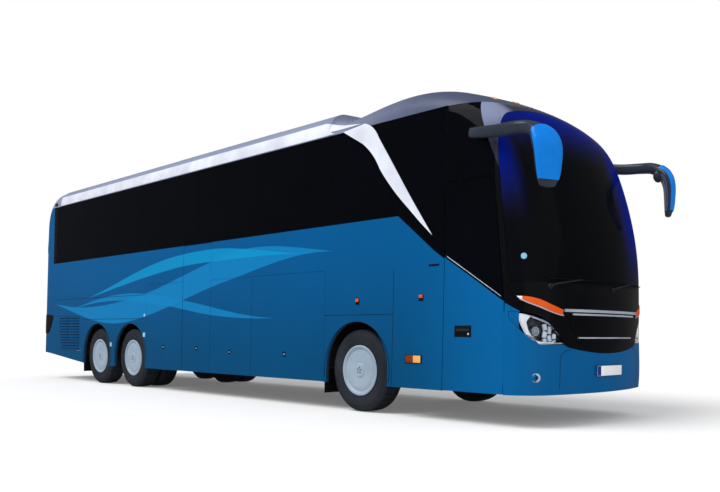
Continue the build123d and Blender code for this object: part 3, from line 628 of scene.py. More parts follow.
FINISHES = {
    Finish.PAINT: CoachPaintAndPaintedLight(),
    Finish.GLOSS_BLACK: Plain(tone(8, 9, 12), tone(12, 13, 17), (0.12, 0.2), gloss=0.1),
    Finish.SIDE_GLASS: Pane(tone(26, 29, 38), painted_end=True, clear=0.8, gloss=0.02),
    # the blue is a painted reflection along the windscreen's top and sides
    Finish.SCREEN: Pane(tone(36, 38, 44), tone(4, 26, 132), True, clear=0.8, gloss=0.02),
    Finish.ALUMINIUM: Plain(tone(232, 236, 248), tone(208, 213, 226), (0.3, 0.4), gloss=0.3),
    Finish.ROOF: RoofPaintAndShade(),
    Finish.STEEL: Plain(tone(30, 31, 34), tone(42, 40, 38), (0.5, 0.75), gloss=0.2, relief=0.0006),
    Finish.TYRE: Plain(tone(32, 37, 44), tone(44, 48, 54), (0.65, 0.85), gloss=0.15, relief=0.0008),
    Finish.WHEEL: Plain(tone(140, 160, 178), tone(156, 172, 188), (0.3, 0.42), gloss=0.3),
    Finish.LAMP_CLEAR: Plain(tone(170, 180, 190), tone(150, 160, 172), (0.1, 0.2), gloss=0.4),
    Finish.LOUVRE: Plain(tone(0, 84, 142), tone(0, 76, 130), (0.25, 0.35), gloss=0.1),
    Finish.LAMP_SMOKED: Plain(tone(22, 8, 12), tone(12, 6, 9), (0.1, 0.2), gloss=0.1),
    Finish.LAMP_RED: Plain(tone(96, 6, 10), tone(70, 4, 8), (0.1, 0.2), gloss=0.3),
    Finish.FABRIC: Plain(tone(44, 52, 74), tone(34, 40, 58), (0.8, 0.95), gloss=0.1, grain=400, relief=0.001),
    Finish.PLASTIC: Plain(tone(30, 31, 35), tone(38, 40, 44), (0.45, 0.6), gloss=0.2, relief=0.0003),
    Finish.FLOOR: Plain(tone(92, 92, 96), tone(104, 103, 106), (0.6, 0.8), gloss=0.2),
    Finish.MIRROR: Plain(tone(52, 58, 70), tone(44, 50, 61), (0.2, 0.3), gloss=0.2),
    Finish.IRON: Plain(tone(58, 58, 60), tone(48, 46, 45), (0.6, 0.8), gloss=0.2, relief=0.001),
    Finish.CHROME: Plain(tone(206, 214, 228), tone(170, 180, 198), (0.12, 0.2), metallic=0.35, gloss=0.5),
    Finish.AMBER: Plain(tone(236, 92, 20), tone(222, 78, 14), (0.15, 0.25), gloss=0.3),
    Finish.AMBER_DARK: Plain(tone(150, 66, 24), tone(120, 50, 20), (0.15, 0.25), gloss=0.3),
    Finish.AMBER_PALE: Plain(tone(236, 180, 110), tone(226, 160, 84), (0.15, 0.25), gloss=0.3),
    Finish.SEAL: Plain(tone(12, 13, 16), tone(18, 19, 22), (0.6, 0.8), gloss=0.1),
    Finish.LAMP_DARK: Plain(tone(30, 34, 42), tone(44, 48, 58), (0.2, 0.35), gloss=0.3),
    Finish.LAMP_LENS: Pane(tone(214, 220, 228), clear=0.55, gloss=0.6),
    Finish.LAMP_COVER: Pane(tone(246, 248, 250), clear=1.0, gloss=0.5),
    Finish.PLATE: Plain(tone(250, 251, 253), tone(240, 242, 246), (0.35, 0.5), gloss=0.3),
    Finish.BAND: Plain(tone(8, 40, 140), tone(10, 46, 150), (0.35, 0.5), gloss=0.3),
    Finish.BLUE_GLOSS: Plain(tone(4, 128, 226), tone(4, 118, 212), (0.15, 0.25), gloss=0.15),
    Finish.MIRROR_GLASS: Plain(tone(170, 180, 190), tone(150, 160, 172), (0.03, 0.06), metallic=0.8),
    Finish.LAMP_GLOW: Plain(tone(238, 242, 248), tone(222, 228, 238), (0.15, 0.25), gloss=0.3),
    Finish.PILLAR: PillarPaint(),
    Finish.REFLECTOR: Plain(tone(150, 205, 236), tone(120, 180, 220), (0.2, 0.3), gloss=0.3),
}


class Library:
    """Materials by finish, each made once."""

    def __init__(self) -> None:
        """Start with no material made."""
        self._made: dict[Finish, bpy.types.Material] = {}

    def get(self, finish: Finish) -> bpy.types.Material:
        """Material of a finish.

        Args:
            finish: The finish.

        Returns:
            Its material.
        """
        if finish not in self._made:
            self._made[finish] = FINISHES[finish].make(finish.value)
        return self._made[finish]


LIBRARY = Library()


# ---------------------------------------------------------------------------- carried-over nodes
FINISH_NODES = {
    Finish.PAINT: ("side_wall_right", "side_wall_left", "front_body", "rear_mask", "engine_lid", "front_door",
                   "mid_door", "radiator_flap", "flap_right_rear", "flap_right_middle", "flap_right_front",
                   "flap_left_rear", "flap_left_middle", "flap_left_front"),
    Finish.ROOF: ("roof_panel", "roof_aircon", "roof_hatch_front", "roof_hatch_rear"),
    Finish.SIDE_GLASS: ("side_glass_right", "side_glass_left", "rear_window", "front_door_glass"),
    Finish.SCREEN: ("windscreen",),
    Finish.PILLAR: ("cab_frame",),
    Finish.GLOSS_BLACK: ("front_mask",),
    Finish.ALUMINIUM: ("roofline_trim",),
    Finish.LAMP_CLEAR: ("headlamps",),
    Finish.LAMP_RED: ("tail_lamps",),
    Finish.MIRROR: ("mirrors",),
    Finish.PLASTIC: ("wipers", "dashboard"),
    Finish.FABRIC: ("seats",),
    Finish.FLOOR: ("cabin_floor",),
    Finish.STEEL: ("underframe",),
    Finish.IRON: ("front_axle", "knuckle_right", "knuckle_left", "rear_axles", "engine_block"),
    Finish.TYRE: tuple(f"{axle}_wheel_{side}" for axle in AXLES for side, _ in SIDES),
}
NODE_FINISH = {name: finish for finish, names in FINISH_NODES.items() for name in names}


class CarriedNodes:
    """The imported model's own solids, which only get a finish."""

    def dress(self) -> None:
        """Give every node its material."""
        for name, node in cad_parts.items():
            finish = NODE_FINISH[name]
            if not node.material_slots:
                node.data.materials.append(LIBRARY.get(finish))
            for place in node.material_slots:
                place.material = LIBRARY.get(finish)
            log.info("node %s: %s", name, finish.value)


# ---------------------------------------------------------------------------- shape tools
def curve_at(points: Sequence[Sequence[float]], share: float) -> Vector:
    """Find a point on the smooth curve that runs through a few points.

    Args:
        points: The points, in two or three dimensions.
        share: How far along, from 0 to 1.

    Returns:
        The point.
    """
    spans = len(points) - 1
    place = min(max(share, 0.0), 1.0) * spans
    index = min(int(place), spans - 1)
    t = place - index
    before, start, end, after = (Vector(points[min(max(index + k, 0), spans)]) for k in (-1, 0, 1, 2))
    bend = 2 * before - 5 * start + 4 * end - after
    turn = 3 * start - before - 3 * end + after
    return 0.5 * (2 * start + (end - before) * t + bend * t * t + turn * t ** 3)


def from_front(y: float, z: float) -> Ray:
    """Ray that meets the front at a height and a place across it."""
    return Vector((9, y, z)), Vector((-1, 0, 0))


def from_rear(y: float, z: float) -> Ray:
    """Ray that meets the tail at a height and a place across it."""
    return Vector((-9, y, z)), Vector((1, 0, 0))


def from_side(sign: int) -> View:
    """Rays that meet one flank at a place along it and a height."""
    return lambda x, z: (Vector((x, 3 * sign, z)), Vector((0, -sign, 0)))


def from_above(x: float, y: float) -> Ray:
    """Ray that meets the roof at a place along and across it."""
    return Vector((x, y, 6)), Vector((0, 0, -1))


def level_band(places: Sequence[float], low: float, high: float) -> tuple[Curve, Curve]:
    """Lower and upper curves of a level band through a few places."""
    return tuple((place, low) for place in places), tuple((place, high) for place in places)


class Skin:
    """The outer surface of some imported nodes, on which pieces are laid."""

    def __init__(self, *names: str) -> None:
        """Gather the nodes' faces.

        Args:
            names: Names of the nodes.
        """
        corners: list[Vector] = []
        faces: list[list[int]] = []
        for name in names:
            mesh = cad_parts[name].data
            first = len(corners)
            corners += [vertex.co.copy() for vertex in mesh.vertices]
            faces += [[first + index for index in face.vertices] for face in mesh.polygons]
        self.tree = BVHTree.FromPolygons(corners, faces)

    def meet(self, ray: Ray, reach: float = 3.2) -> Ray:
        """Find where a ray meets the surface, or the nearest place to it.

        Args:
            ray: Start and direction.
            reach: How far along the ray the nearest place is looked for if it misses.

        Returns:
            The place, and the normal that faces the start.
        """
        start, way = ray
        place, normal, _, _ = self.tree.ray_cast(start, way)
        if place is None:
            place, normal, _, _ = self.tree.find_nearest(start + way * reach)
        return place, normal if normal.dot(way) < 0 else -normal


@dataclass(frozen=True)
class Block:
    """A box with rounded edges: its size along x, y and z, the edges' radius and the steps round them."""

    finish: Finish
    size: Point
    bevel: float = 0.004
    segments: int = 2


@dataclass(frozen=True)
class Turned:
    """A turned shape: steps round the axis, and distance along it and radius of each corner."""

    finish: Finish
    steps: int
    section: Curve

    def shape(self) -> bmesh.types.BMesh:
        """Spin the section round the local z axis.

        Returns:
            The turned shape.
        """
        shape = bmesh.new()
        corners = [shape.verts.new((radius, 0, along)) for along, radius in self.section]
        edges = [shape.edges.new(pair) for pair in zip(corners, corners[1:])]
        bmesh.ops.spin(shape, geom=corners + edges, cent=(0, 0, 0), axis=(0, 0, 1), dvec=(0, 0, 0),
                       angle=math.tau, steps=self.steps, use_merge=True, use_duplicate=False)
        return shape


class Form:
    """One piece under construction, made of several shapes with a finish each."""

    def __init__(self, name: str, body: str = BODY) -> None:
        """Start an empty piece.

        Args:
            name: Name of the piece.
            body: Name of the body it rides on.
        """
        self.name = name
        self.body = body
        self.whole = bmesh.new()
        self.finishes: list[Finish] = []

    def take(self, shape: bmesh.types.BMesh, finish: Finish, place: Matrix | None = None) -> None:
        """Add a finished shape to the piece.

        Args:
            shape: The shape, which is used up.
            finish: Its finish.
            place: Where it goes, if it isn't there already.
        """
        if finish not in self.finishes:
            self.finishes.append(finish)
        bmesh.ops.remove_doubles(shape, verts=shape.verts, dist=1e-5)
        if place is not None:
            bmesh.ops.transform(shape, matrix=place, verts=shape.verts)
        bmesh.ops.recalc_face_normals(shape, faces=shape.faces)
        for face in shape.faces:
            face.material_index = self.finishes.index(finish)
        carrier = bpy.data.meshes.new("carrier")
        shape.to_mesh(carrier)
        shape.free()
        self.whole.from_mesh(carrier)
        bpy.data.meshes.remove(carrier)

    def box(self, block: Block, place: Matrix) -> None:
        """Add a box with rounded edges, with its middle at a place.

        Args:
            block: The box.
            place: Where its middle goes.
        """
        shape = bmesh.new()
        bmesh.ops.create_cube(shape, size=1.0, matrix=Matrix.Diagonal((*block.size, 1)))
        bmesh.ops.bevel(shape, geom=shape.edges[:], offset=block.bevel, offset_type="OFFSET",
                        segments=block.segments, profile=0.5, affect="EDGES", material=-1)
        self.take(shape, block.finish, place)

    def lathe(self, place: Matrix, *shapes: Turned) -> None:
        """Add turned shapes with their axis on the local z of a place."""
        for turned in shapes:
            self.take(turned.shape(), turned.finish, place)

    def weave(self, where: Callable[[float, float], Vector], finish: Finish, columns: int, rows: int) -> None:
        """Add a grid bent to a form.

        Args:
            where: Gives the place of a point of the grid from two numbers between 0 and 1.
            finish: Its finish.
            columns: Steps along the first number.
            rows: Steps along the second number.
        """
        shape = bmesh.new()
        bmesh.ops.create_grid(shape, x_segments=columns, y_segments=rows, size=0.5)
        for vertex in shape.verts:
            vertex.co = where(vertex.co.x + 0.5, vertex.co.y + 0.5)
        bmesh.ops.remove_doubles(shape, verts=shape.verts, dist=1e-5)
        bmesh.ops.dissolve_degenerate(shape, edges=shape.edges, dist=1e-6)
        self.take(shape, finish)

    def strip(self, where: Bend, finish: Finish, columns: int, rows: int, thick: float) -> None:
        """Add a closed band with rounded edges, bent to a form.

        Args:
            where: Gives a place from the share along, the share up and the height off the middle.
            finish: Its finish.
            columns: Steps along it.
            rows: Steps round its section.
            thick: Its thickness.
        """
        def wrap(along: float, turn: float) -> Vector:
            """Point on the band's closed section.

            Args:
                along: Share along it.
                turn: Share round it.

            Returns:
                The point.
            """
            c, s = math.cos(turn * math.tau), math.sin(turn * math.tau)
            up = 0.5 - 0.5 * math.copysign(math.sqrt(abs(c)), c)
            return where(along, up, thick / 2 * math.copysign(math.sqrt(abs(s)), s))

        self.weave(wrap, finish, columns, rows)

    def tube(self, spine: Sequence[Point], radius: Callable[[float], float], finish: Finish,
             columns: int, sides: int) -> None:
        """Add a round bar along a smooth curve.

        Args:
            spine: Points that the curve runs through.
            radius: Gives its radius at a share of the way along.
            finish: Its finish.
            columns: Steps along it.
            sides: Steps round it.
        """
        def where(along: float, turn: float) -> Vector:
            """Point on the bar's surface.

            Args:
                along: Share along it.
                turn: Share round it.

            Returns:
                The point.
            """
            middle = curve_at(spine, along)
            ahead = (curve_at(spine, along + 0.01) - curve_at(spine, along - 0.01)).normalized()
            out = ahead.cross(Vector((0, 0, 1)) if abs(ahead.z) < 0.9 else Vector((1, 0, 0))).normalized()
            up = out.cross(ahead)
            angle = turn * math.tau
            return middle + (out * math.cos(angle) + up * math.sin(angle)) * radius(along)

        self.weave(where, finish, columns, sides)

    def done(self, sharp: float = 34.0) -> bpy.types.Object:
        """Make the piece.

        Args:
            sharp: Angle in degrees above which an edge stays sharp.

        Returns:
            The piece, riding on its body.
        """
        mesh = bpy.data.meshes.new(self.name)
        self.whole.to_mesh(mesh)
        self.whole.free()
        mesh.shade_smooth()
        mesh.set_sharp_from_angle(angle=math.radians(sharp))
        for finish in self.finishes:
            mesh.materials.append(LIBRARY.get(finish))
        item = bpy.data.objects.new(self.name, mesh)
        bpy.context.scene.collection.objects.link(item)
        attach(item, self.body)
        log.info("%s: %d faces", self.name, len(mesh.polygons))
        return item


def facing(place: Vector, normal: Vector, upright: Vector = Vector((0, 0, 1))) -> Matrix:
    """Turn local z to a surface's normal, with local y as near upright as it goes.

    Args:
        place: The origin.
        normal: The surface's normal.
        upright: The direction that local y follows.

    Returns:
        The matrix.
    """
    out = normal.normalized()
    side = upright.cross(out).normalized()
    turn = Matrix((side, out.cross(side), out)).transposed().to_4x4()
    return Matrix.Translation(place) @ turn


def laid(skin: Skin, view: View, low: Curve, high: Curve, proud: float, share: Flat = (0.0, 1.0)) -> Bend:
    """Map a band between two curves onto a surface.

    Args:
        skin: The surface.
        view: Gives the ray for the two coordinates that the curves are in.
        low: Points of the lower curve.
        high: Points of the upper curve.
        proud: How far the band's middle stands off the surface.
        share: The part of the curves that it covers.

    Returns:
        A function for Form.strip.
    """
    def where(along: float, up: float, lift: float = 0.0) -> Vector:
        """Point on the band, off the surface by the lift.

        Args:
            along: Share along it.
            up: Share up it.
            lift: Height off the band's middle.

        Returns:
            The point.
        """
        along = mix(*share, along)
        flat = curve_at(low, along).lerp(curve_at(high, along), up)
        place, normal = skin.meet(view(flat[0], flat[1]))
        return place + normal * (proud + lift)

    return where


# ---------------------------------------------------------------------------- wheels
@dataclass(frozen=True)
class Wheel:
    """A tyre with grooves and blocks, and a dished cover with a small hub.

    Distances along the axle count outwards from the tyre's middle.
    """

    radius: float = 0.52
    track: float = 2.12
    twin_spacing: float = 0.34
    steps: int = 96
    sidewall: Curve = ((0.112, 0.292), (0.126, 0.304), (0.131, 0.326), (0.137, 0.33), (0.1455, 0.372),
                       (0.1475, 0.41), (0.1465, 0.438), (0.1485, 0.441), (0.1475, 0.447), (0.1435, 0.452),
                       (0.138, 0.482), (0.129, 0.502), (0.116, 0.513))
    # distance outwards and depth below the tyre's radius
    tread: Curve = ((0.082, 0.003), (0.08, 0.016), (0.07, 0.016), (0.068, 0.0015), (0.034, 0.0),
                    (0.032, 0.014), (0.022, 0.014), (0.02, 0.0))
    rib_reach: float = 0.008
    cut_spacing: int = 3
    cut_border: float = 0.0045
    cut_depth: float = 0.009
    cover: Turned = Turned(Finish.WHEEL, 80, (
        (0.112, 0.290), (0.132, 0.291), (0.1365, 0.302), (0.1365, 0.315), (0.139, 0.318), (0.1445, 0.316),
        (0.1485, 0.309), (0.1495, 0.300), (0.147, 0.290), (0.137, 0.276), (0.1305, 0.268), (0.1285, 0.262),
        (0.1305, 0.256), (0.1345, 0.246), (0.139, 0.205), (0.1405, 0.15), (0.139, 0.105), (0.1375, 0.098),
        (0.139, 0.092), (0.1455, 0.086), (0.1475, 0.078), (0.1485, 0.06), (0.149, 0.0)))
    rim: Turned = Turned(Finish.STEEL, 48, (
        (-0.112, 0.291), (-0.112, 0.276), (0.07, 0.272), (0.11, 0.262), (0.128, 0.262)))
    twin_rim: Turned = Turned(Finish.STEEL, 48, ((-0.452, 0.291), (-0.452, 0.277), (-0.242, 0.277)))
    hub_cap: Turned = Turned(Finish.STEEL, 16, ((0.1495, 0.0), (0.1493, 0.008), (0.148, 0.0105)))
    hub: Turned = Turned(Finish.IRON, 40, (
        (-0.06, 0.272), (-0.052, 0.2), (-0.062, 0.11), (-0.13, 0.09), (-0.15, 0.075), (-0.15, 0.06)))
    hole: Turned = Turned(Finish.SEAL, 12, (
        (0.0012, 0.0), (0.0016, 0.008), (0.0014, 0.0105), (-0.002, 0.0115)))
    bolt: Turned = Turned(Finish.WHEEL, 10, (
        (-0.002, 0.0075), (0.0006, 0.0072), (0.0012, 0.006), (0.0012, 0.0)))
    # number, radius of their circle, distance outwards and first angle in degrees
    holes: Layout = (5, 0.033, 0.1478, 12)
    bolts: Layout = (10, 0.222, 0.1375, 0)

    def tyre(self, form: Form, place: Matrix) -> None:
        """Add one tyre, with cross cuts in the shoulder and middle ribs of its tread.

        Args:
            form: The piece that takes it.
            place: Where its middle goes, with local z outwards.
        """
        half = list(self.sidewall) + [(along, self.radius - depth) for along, depth in self.tread]
        section = half + [(-along, radius) for along, radius in reversed(half)]
        shape = Turned(Finish.TYRE, self.steps, section).shape()
        bmesh.ops.recalc_face_normals(shape, faces=shape.faces)
        ribs = []
        for face in shape.faces:
            middle = face.calc_center_median()
            turn = round((math.atan2(middle.y, middle.x) % math.tau) / math.tau * self.steps - 0.5)
            outer = math.hypot(middle.x, middle.y) > self.radius - self.rib_reach
            if outer and turn % self.cut_spacing == 0:
                ribs.append(face)
        bmesh.ops.inset_individual(shape, faces=ribs, thickness=self.cut_border, depth=-self.cut_depth,
                                   use_even_offset=True)
        form.take(shape, Finish.TYRE, place)

    def ring(self, form: Form, place: Matrix, turned: Turned, layout: Layout) -> None:
        """Repeat a small turned shape on a circle round the axle.

        Args:
            form: The piece that takes it.
            place: The wheel's middle, with local z outwards.
            turned: The small shape.
            layout: Number, radius of the circle, distance outwards and first angle.
        """
        count, circle, outwards, first = layout
        for index in range(count):
            angle = math.radians(index * 360 / count + first)
            spot = Matrix.Translation((circle * math.cos(angle), circle * math.sin(angle), outwards))
            form.lathe(place @ spot, turned)

    def build(self) -> None:
        """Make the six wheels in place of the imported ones."""
        for axle in AXLES:
            for side, sign in SIDES:
                node = f"{axle}_wheel_{side}"
                low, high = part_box(node)
                outward = Matrix.Rotation(math.radians(-90 * sign), 4, "X")
                middle = Vector(((low[0] + high[0]) / 2, sign * self.track / 2, self.radius))
                place = Matrix.Translation(middle) @ outward
                form = Form(f"{node}_dressed", node)
                self.tyre(form, place)
                if axle == "drive":
                    self.tyre(form, place @ Matrix.Translation((0, 0, -self.twin_spacing)))
                    form.lathe(place, self.twin_rim)
                form.lathe(place, self.cover, self.rim)
                self.ring(form, place, self.hole, self.holes)
                form.lathe(place, self.hub_cap)
                self.ring(form, place, self.bolt, self.bolts)
                form.lathe(place, self.hub)
                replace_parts(form.done(), node)


# ---------------------------------------------------------------------------- front
@dataclass
class Front:
    """Lamps, indicators, bright bars, grille, number plate, towing eye and wipers.

    The curves' points are a distance outwards from the middle and a height.
    """

    lamp_low: Curve = ((0.756, 0.893), (0.848, 0.889), (0.939, 0.886), (1.084, 0.886), (1.146, 0.952),
                       (1.182, 1.053), (1.203, 1.165), (1.203, 1.214))
    lamp_high: Curve = ((0.756, 0.893), (0.766, 0.952), (0.842, 1.040), (0.933, 1.112), (1.046, 1.160),
                        (1.137, 1.194), (1.185, 1.209), (1.203, 1.214))
    lamp_edge: float = 0.004
    lamp_depth: float = 0.085
    heart: Flat = (4.6, 0.0)
    wall_gap: float = 0.006
    # across, height and depth of the lens, and its turn outwards in degrees
    lens_spot: Point = (1.078, 1.018, 0.045)
    lens_turn: float = 20
    lens: tuple[Turned, ...] = (
        Turned(Finish.LAMP_DARK, 40, (
            (-0.05, 0.066), (0.0, 0.065), (0.012, 0.061), (0.014, 0.054), (0.004, 0.05), (-0.01, 0.046))),
        Turned(Finish.CHROME, 40, (
            (-0.008, 0.049), (0.006, 0.048), (0.011, 0.044), (0.009, 0.039), (-0.004, 0.037))),
        Turned(Finish.LAMP_LENS, 40, (
            (-0.01, 0.038), (0.006, 0.036), (0.016, 0.028), (0.022, 0.015), (0.024, 0.0))),
    )
    # across, height, width, length and lean in degrees of each facet
    facets: tuple = ((0.985, 1.062, 0.052, 0.072, 12), (0.925, 1.030, 0.052, 0.085, -8),
                     (0.987, 0.985, 0.052, 0.07, -14), (0.930, 0.945, 0.055, 0.070, 10),
                     (0.868, 0.965, 0.050, 0.06, -6), (0.872, 0.912, 0.065, 0.03, 8),
                     (0.99, 0.922, 0.05, 0.042, 5))
    facet_depth: float = 0.04
    facet_thick: float = 0.03
    facet_turns: Flat = (-12, 10)
    running_outer: Curve = ((1.198, 1.206), (1.198, 1.130), (1.178, 1.052), (1.143, 0.960), (1.084, 0.896),
                            (1.0, 0.894), (0.88, 0.896))
    running_inner: Curve = ((1.115, 1.178), (1.147, 1.125), (1.146, 1.075), (1.124, 0.995), (1.078, 0.928),
                            (1.0, 0.908), (0.88, 0.908))
    brow_low: Curve = ((1.11, 1.158), (1.035, 1.128), (0.93, 1.080), (0.86, 1.018), (0.80, 0.955))
    brow_high: Curve = ((1.12, 1.183), (1.046, 1.153), (0.933, 1.103), (0.846, 1.032), (0.78, 0.955))
    rim_end: float = 0.9
    rim_shift: Flat = (-0.003, 0.004)
    rim_radius: float = 0.0055
    surround_z: Flat = (0.95, 0.002)
    blade_low: Curve = ((1.205, 1.366), (1.139, 1.318), (1.050, 1.278), (0.951, 1.238), (0.822, 1.203),
                        (0.762, 1.196))
    blade_high: Curve = ((1.211, 1.386), (1.138, 1.378), (1.040, 1.349), (0.934, 1.307), (0.803, 1.262),
                         (0.756, 1.243))
    blade_line: float = 0.013
    # half width, lower edge and upper edge
    bars: tuple[Point, ...] = ((0.755, 1.226, 1.258), (0.64, 1.192, 1.213), (0.555, 0.943, 0.960))
    # half width and lower edge
    slats: Curve = ((0.44, 0.85), (0.53, 0.88), (0.58, 0.91), (0.60, 0.99), (0.62, 1.02), (0.64, 1.05),
                    (0.66, 1.08), (0.67, 1.11), (0.68, 1.14))
    slat_height: float = 0.014
    bumper_seam: Curve = ((0.815, 0.415), (0.815, 0.56), (0.812, 0.70), (0.79, 0.775), (0.73, 0.815),
                          (0.66, 0.83))
    plate_width: float = 0.52
    plate_height: float = 0.11
    plate_z: float = 0.59
    plate_band: float = 0.075
    plate_thick: float = 0.003
    plate_frame: float = 0.004
    tow_eye: Flat = (-1.09, 0.535)
    tow_radius: float = 0.05
    tow_ring: Turned = Turned(Finish.CHROME, 36, (
        (-0.008, 0.026), (0.003, 0.026), (0.006, 0.030), (0.006, 0.042), (0.003, 0.048), (-0.006, 0.049)))
    disc_spot: Flat = (-1.165, 1.80)
    disc: Turned = Turned(Finish.REFLECTOR, 32, ((0.0005, 0.032), (0.0025, 0.031), (0.0025, 0.0)))
    wiper_reach: Flat = (0.06, 0.98)
    wiper_z: float = 1.572
    # distance from the blade's end, height, and height above the glass
    arm: tuple[Point, ...] = ((0.04, 1.49, 0.018), (0.10, 1.515, 0.024), (0.28, 1.545, 0.024))
    arm_end: Point = (0.52, 1.575, 0.021)
    pivot: Turned = Turned(Finish.PLASTIC, 24, ((0.0, 0.03), (0.014, 0.028), (0.022, 0.022), (0.024, 0.0)))

    def __post_init__(self) -> None:
        """Gather the surfaces that the pieces lie on."""
        self.skin = Skin("front_body", "front_mask", "headlamps", "cab_frame", "windscreen")
        self.lamp_skin = Skin("headlamps")
        self.pocket = Skin("front_body", "front_mask", "underframe", "cab_frame")

    def view(self, sign: int) -> View:
        """Rays from the front whose distance across is counted outwards on one side."""
        return lambda across, z: from_front(sign * across, z)

    def lamp_point(self, sign: int, across: float, z: float, deep: float) -> Vector:
        """Place behind the lamp's face.

        Args:
            sign: Side of the coach.
            across: Distance from the middle.
            z: Height.
            deep: How far behind the face.

        Returns:
            The place.
        """
        place, _ = self.lamp_skin.meet(from_front(sign * across, z), 2.75)
        inward = Vector((self.heart[0] - place.x, self.heart[1] - place.y, 0)).normalized()
        if deep > 0.01:
            back, _, _, _ = self.pocket.tree.ray_cast(place + inward * 0.004, inward, deep + 0.02)
            if back is not None:
                deep = min(deep, max(self.wall_gap, (back - place).length - self.wall_gap))
        return place + inward * deep

    def lamp_band(self, sign: int, low: Curve, high: Curve, deep: Callable[[float, float], float]) -> Bend:
        """Map a band of the lamp at a depth that varies.

        Args:
            sign: Side of the coach.
            low: Points of the band's lower edge.
            high: Points of its upper edge.
            deep: Depth behind the lamp's face for the shares along and up.

        Returns:
            A function for Form.strip or Form.weave.
        """
        def where(along: float, up: float, lift: float = 0.0) -> Vector:
            """Point on the band at its depth."""
            flat = curve_at(low, along).lerp(curve_at(high, along), up)
            return self.lamp_point(sign, flat[0], flat[1], deep(along, up) - lift)

        return where

    def bowl(self, form: Form, sign: int) -> None:
        """Add the lamp's dark bowl.

        Args:
            form: The piece that takes it.
            sign: -1 for the right side, 1 for the left.
        """
        def deep(along: float, up: float) -> float:
            """Depth that falls off to the bowl's edge."""
            rise = min(1.0, min(along, 1 - along) * 5.0) * min(1.0, min(up, 1 - up) * 4.5)
            return self.lamp_edge + self.lamp_depth * math.sin(rise * math.pi / 2) ** 0.7

        form.weave(self.lamp_band(sign, self.lamp_low, self.lamp_high, deep), Finish.LAMP_DARK, 36, 20)

    def reflector(self, form: Form, sign: int) -> None:
        """Add the round lens and the bright facets beside it.

        Args:
            form: The piece that takes it.
            sign: -1 for the right side, 1 for the left.
        """
        ahead = (Matrix.Translation(self.lamp_point(sign, *self.lens_spot))
                 @ Matrix.Rotation(math.radians(self.lens_turn * sign), 4, "Z")
                 @ Matrix.Rotation(math.radians(90), 4, "Y"))
        form.lathe(ahead, *self.lens)
        for index, (across, z, width, length, lean) in enumerate(self.facets):
            spot = self.lamp_point(sign, across, z, self.facet_depth)
            _, normal = self.lamp_skin.meet(from_front(sign * across, z))
            place = facing(spot, normal) @ Matrix.Rotation(math.radians(lean), 4, "Z")
            place = place @ Matrix.Rotation(math.radians(self.facet_turns[index % 2]), 4, "Y")
            form.box(Block(Finish.CHROME, (width, length, self.facet_thick), 0.011, 3), place)

    def running_light(self, form: Form, sign: int) -> None:
        """Add the running light round the lamp's outer end and the clear brow over it.

        Args:
            form: The piece that takes it.
            sign: -1 for the right side, 1 for the left.
        """
        form.strip(self.lamp_band(sign, self.running_outer, self.running_inner,
                                  lambda along, up: 0.012 + 0.012 * up), Finish.LAMP_GLOW, 40, 12, 0.012)
        form.strip(self.lamp_band(sign, self.brow_low, self.brow_high, lambda along, up: 0.02),
                   Finish.LAMP_CLEAR, 28, 10, 0.012)

    def rim(self, form: Form, sign: int) -> None:
        """Add the bright bead along the lamp's lower edge.

        Args:
            form: The piece that takes it.
            sign: -1 for the right side, 1 for the left.
        """
        def where(along: float, turn: float) -> Vector:
            """Point on the bead.

            Args:
                along: Share along it.
                turn: Share round it.

            Returns:
                The point.
            """
            angle = turn * math.tau
            flat = curve_at(self.lamp_low, along * self.rim_end) + Vector(self.rim_shift)
            flat += Vector((math.cos(angle), math.sin(angle))) * self.rim_radius
            return self.lamp_point(sign, flat[0], flat[1], self.lamp_edge * (1 + math.sin(angle)))

        form.weave(where, Finish.CHROME, 48, 8)

    def headlamp(self, side: str, sign: int) -> None:
        """Build one lamp: bowl, lens, faceted reflector, running light, rim, cover and surround.

        Args:
            side: Name of the side.
            sign: -1 for the right side, 1 for the left.
        """
        form = Form(f"headlamp_{side}")
        self.bowl(form, sign)
        self.reflector(form, sign)
        self.running_light(form, sign)
        self.rim(form, sign)
        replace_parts(form.done(), "headlamps")
        cover = Form(f"headlamp_cover_{side}")
        cover.strip(self.lamp_band(sign, self.lamp_low, self.lamp_high, lambda along, up: -0.001),
                    Finish.LAMP_COVER, 36, 16, 0.003)
        cover.done()
        self.surround(side, sign)

    def surround(self, side: str, sign: int) -> None:
        """Close the opening's outer end, past the lamp's own edge, with body paint.

        Args:
            side: Name of the side.
            sign: -1 for the right side, 1 for the left.
        """
        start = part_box("headlamps")[0][0] + 0.003
        end = self.lamp_point(sign, *self.lamp_high[-1], 0.0).x + 0.008
        foot, pitch = self.surround_z
        columns: list[Point] = []
        for step in range(21):
            x = mix(start, end, step / 20)
            met = [z for z in (foot + pitch * row for row in range(150))
                   if self.lamp_skin.tree.ray_cast(*from_side(sign)(x, z), 2.4)[0] is not None]
            if met:
                columns.append((x, met[0], met[-1]))
        low = tuple((x, z) for x, z, _ in columns)
        high = tuple((x, z) for x, _, z in columns)
        form = Form(f"headlamp_surround_{side}")
        form.strip(laid(self.lamp_skin, from_side(sign), low, high, 0.0), Finish.PAINT, 24, 16, 0.004)
        form.done()

    def indicator(self, side: str, sign: int) -> None:
        """Build one amber blade with its pale tip and the bright line under it.

        Args:
            side: Name of the side.
            sign: -1 for the right side, 1 for the left.
        """
        form = Form(f"indicator_{side}")
        under = tuple((across, z - self.blade_line) for across, z in self.blade_low)
        blade = (self.blade_low, self.blade_high, 0.004)
        for band, share, finish, columns, rows in (
            (blade, (0.08, 0.93), Finish.AMBER, 32, 12),
            (blade, (0.0, 0.09), Finish.LAMP_GLOW, 6, 12),
            ((under, self.blade_low, 0.005), (0.03, 1.0), Finish.CHROME, 32, 10),
        ):
            form.strip(laid(self.skin, self.view(sign), *band, share), finish, columns, rows, 0.010)
        form.done()

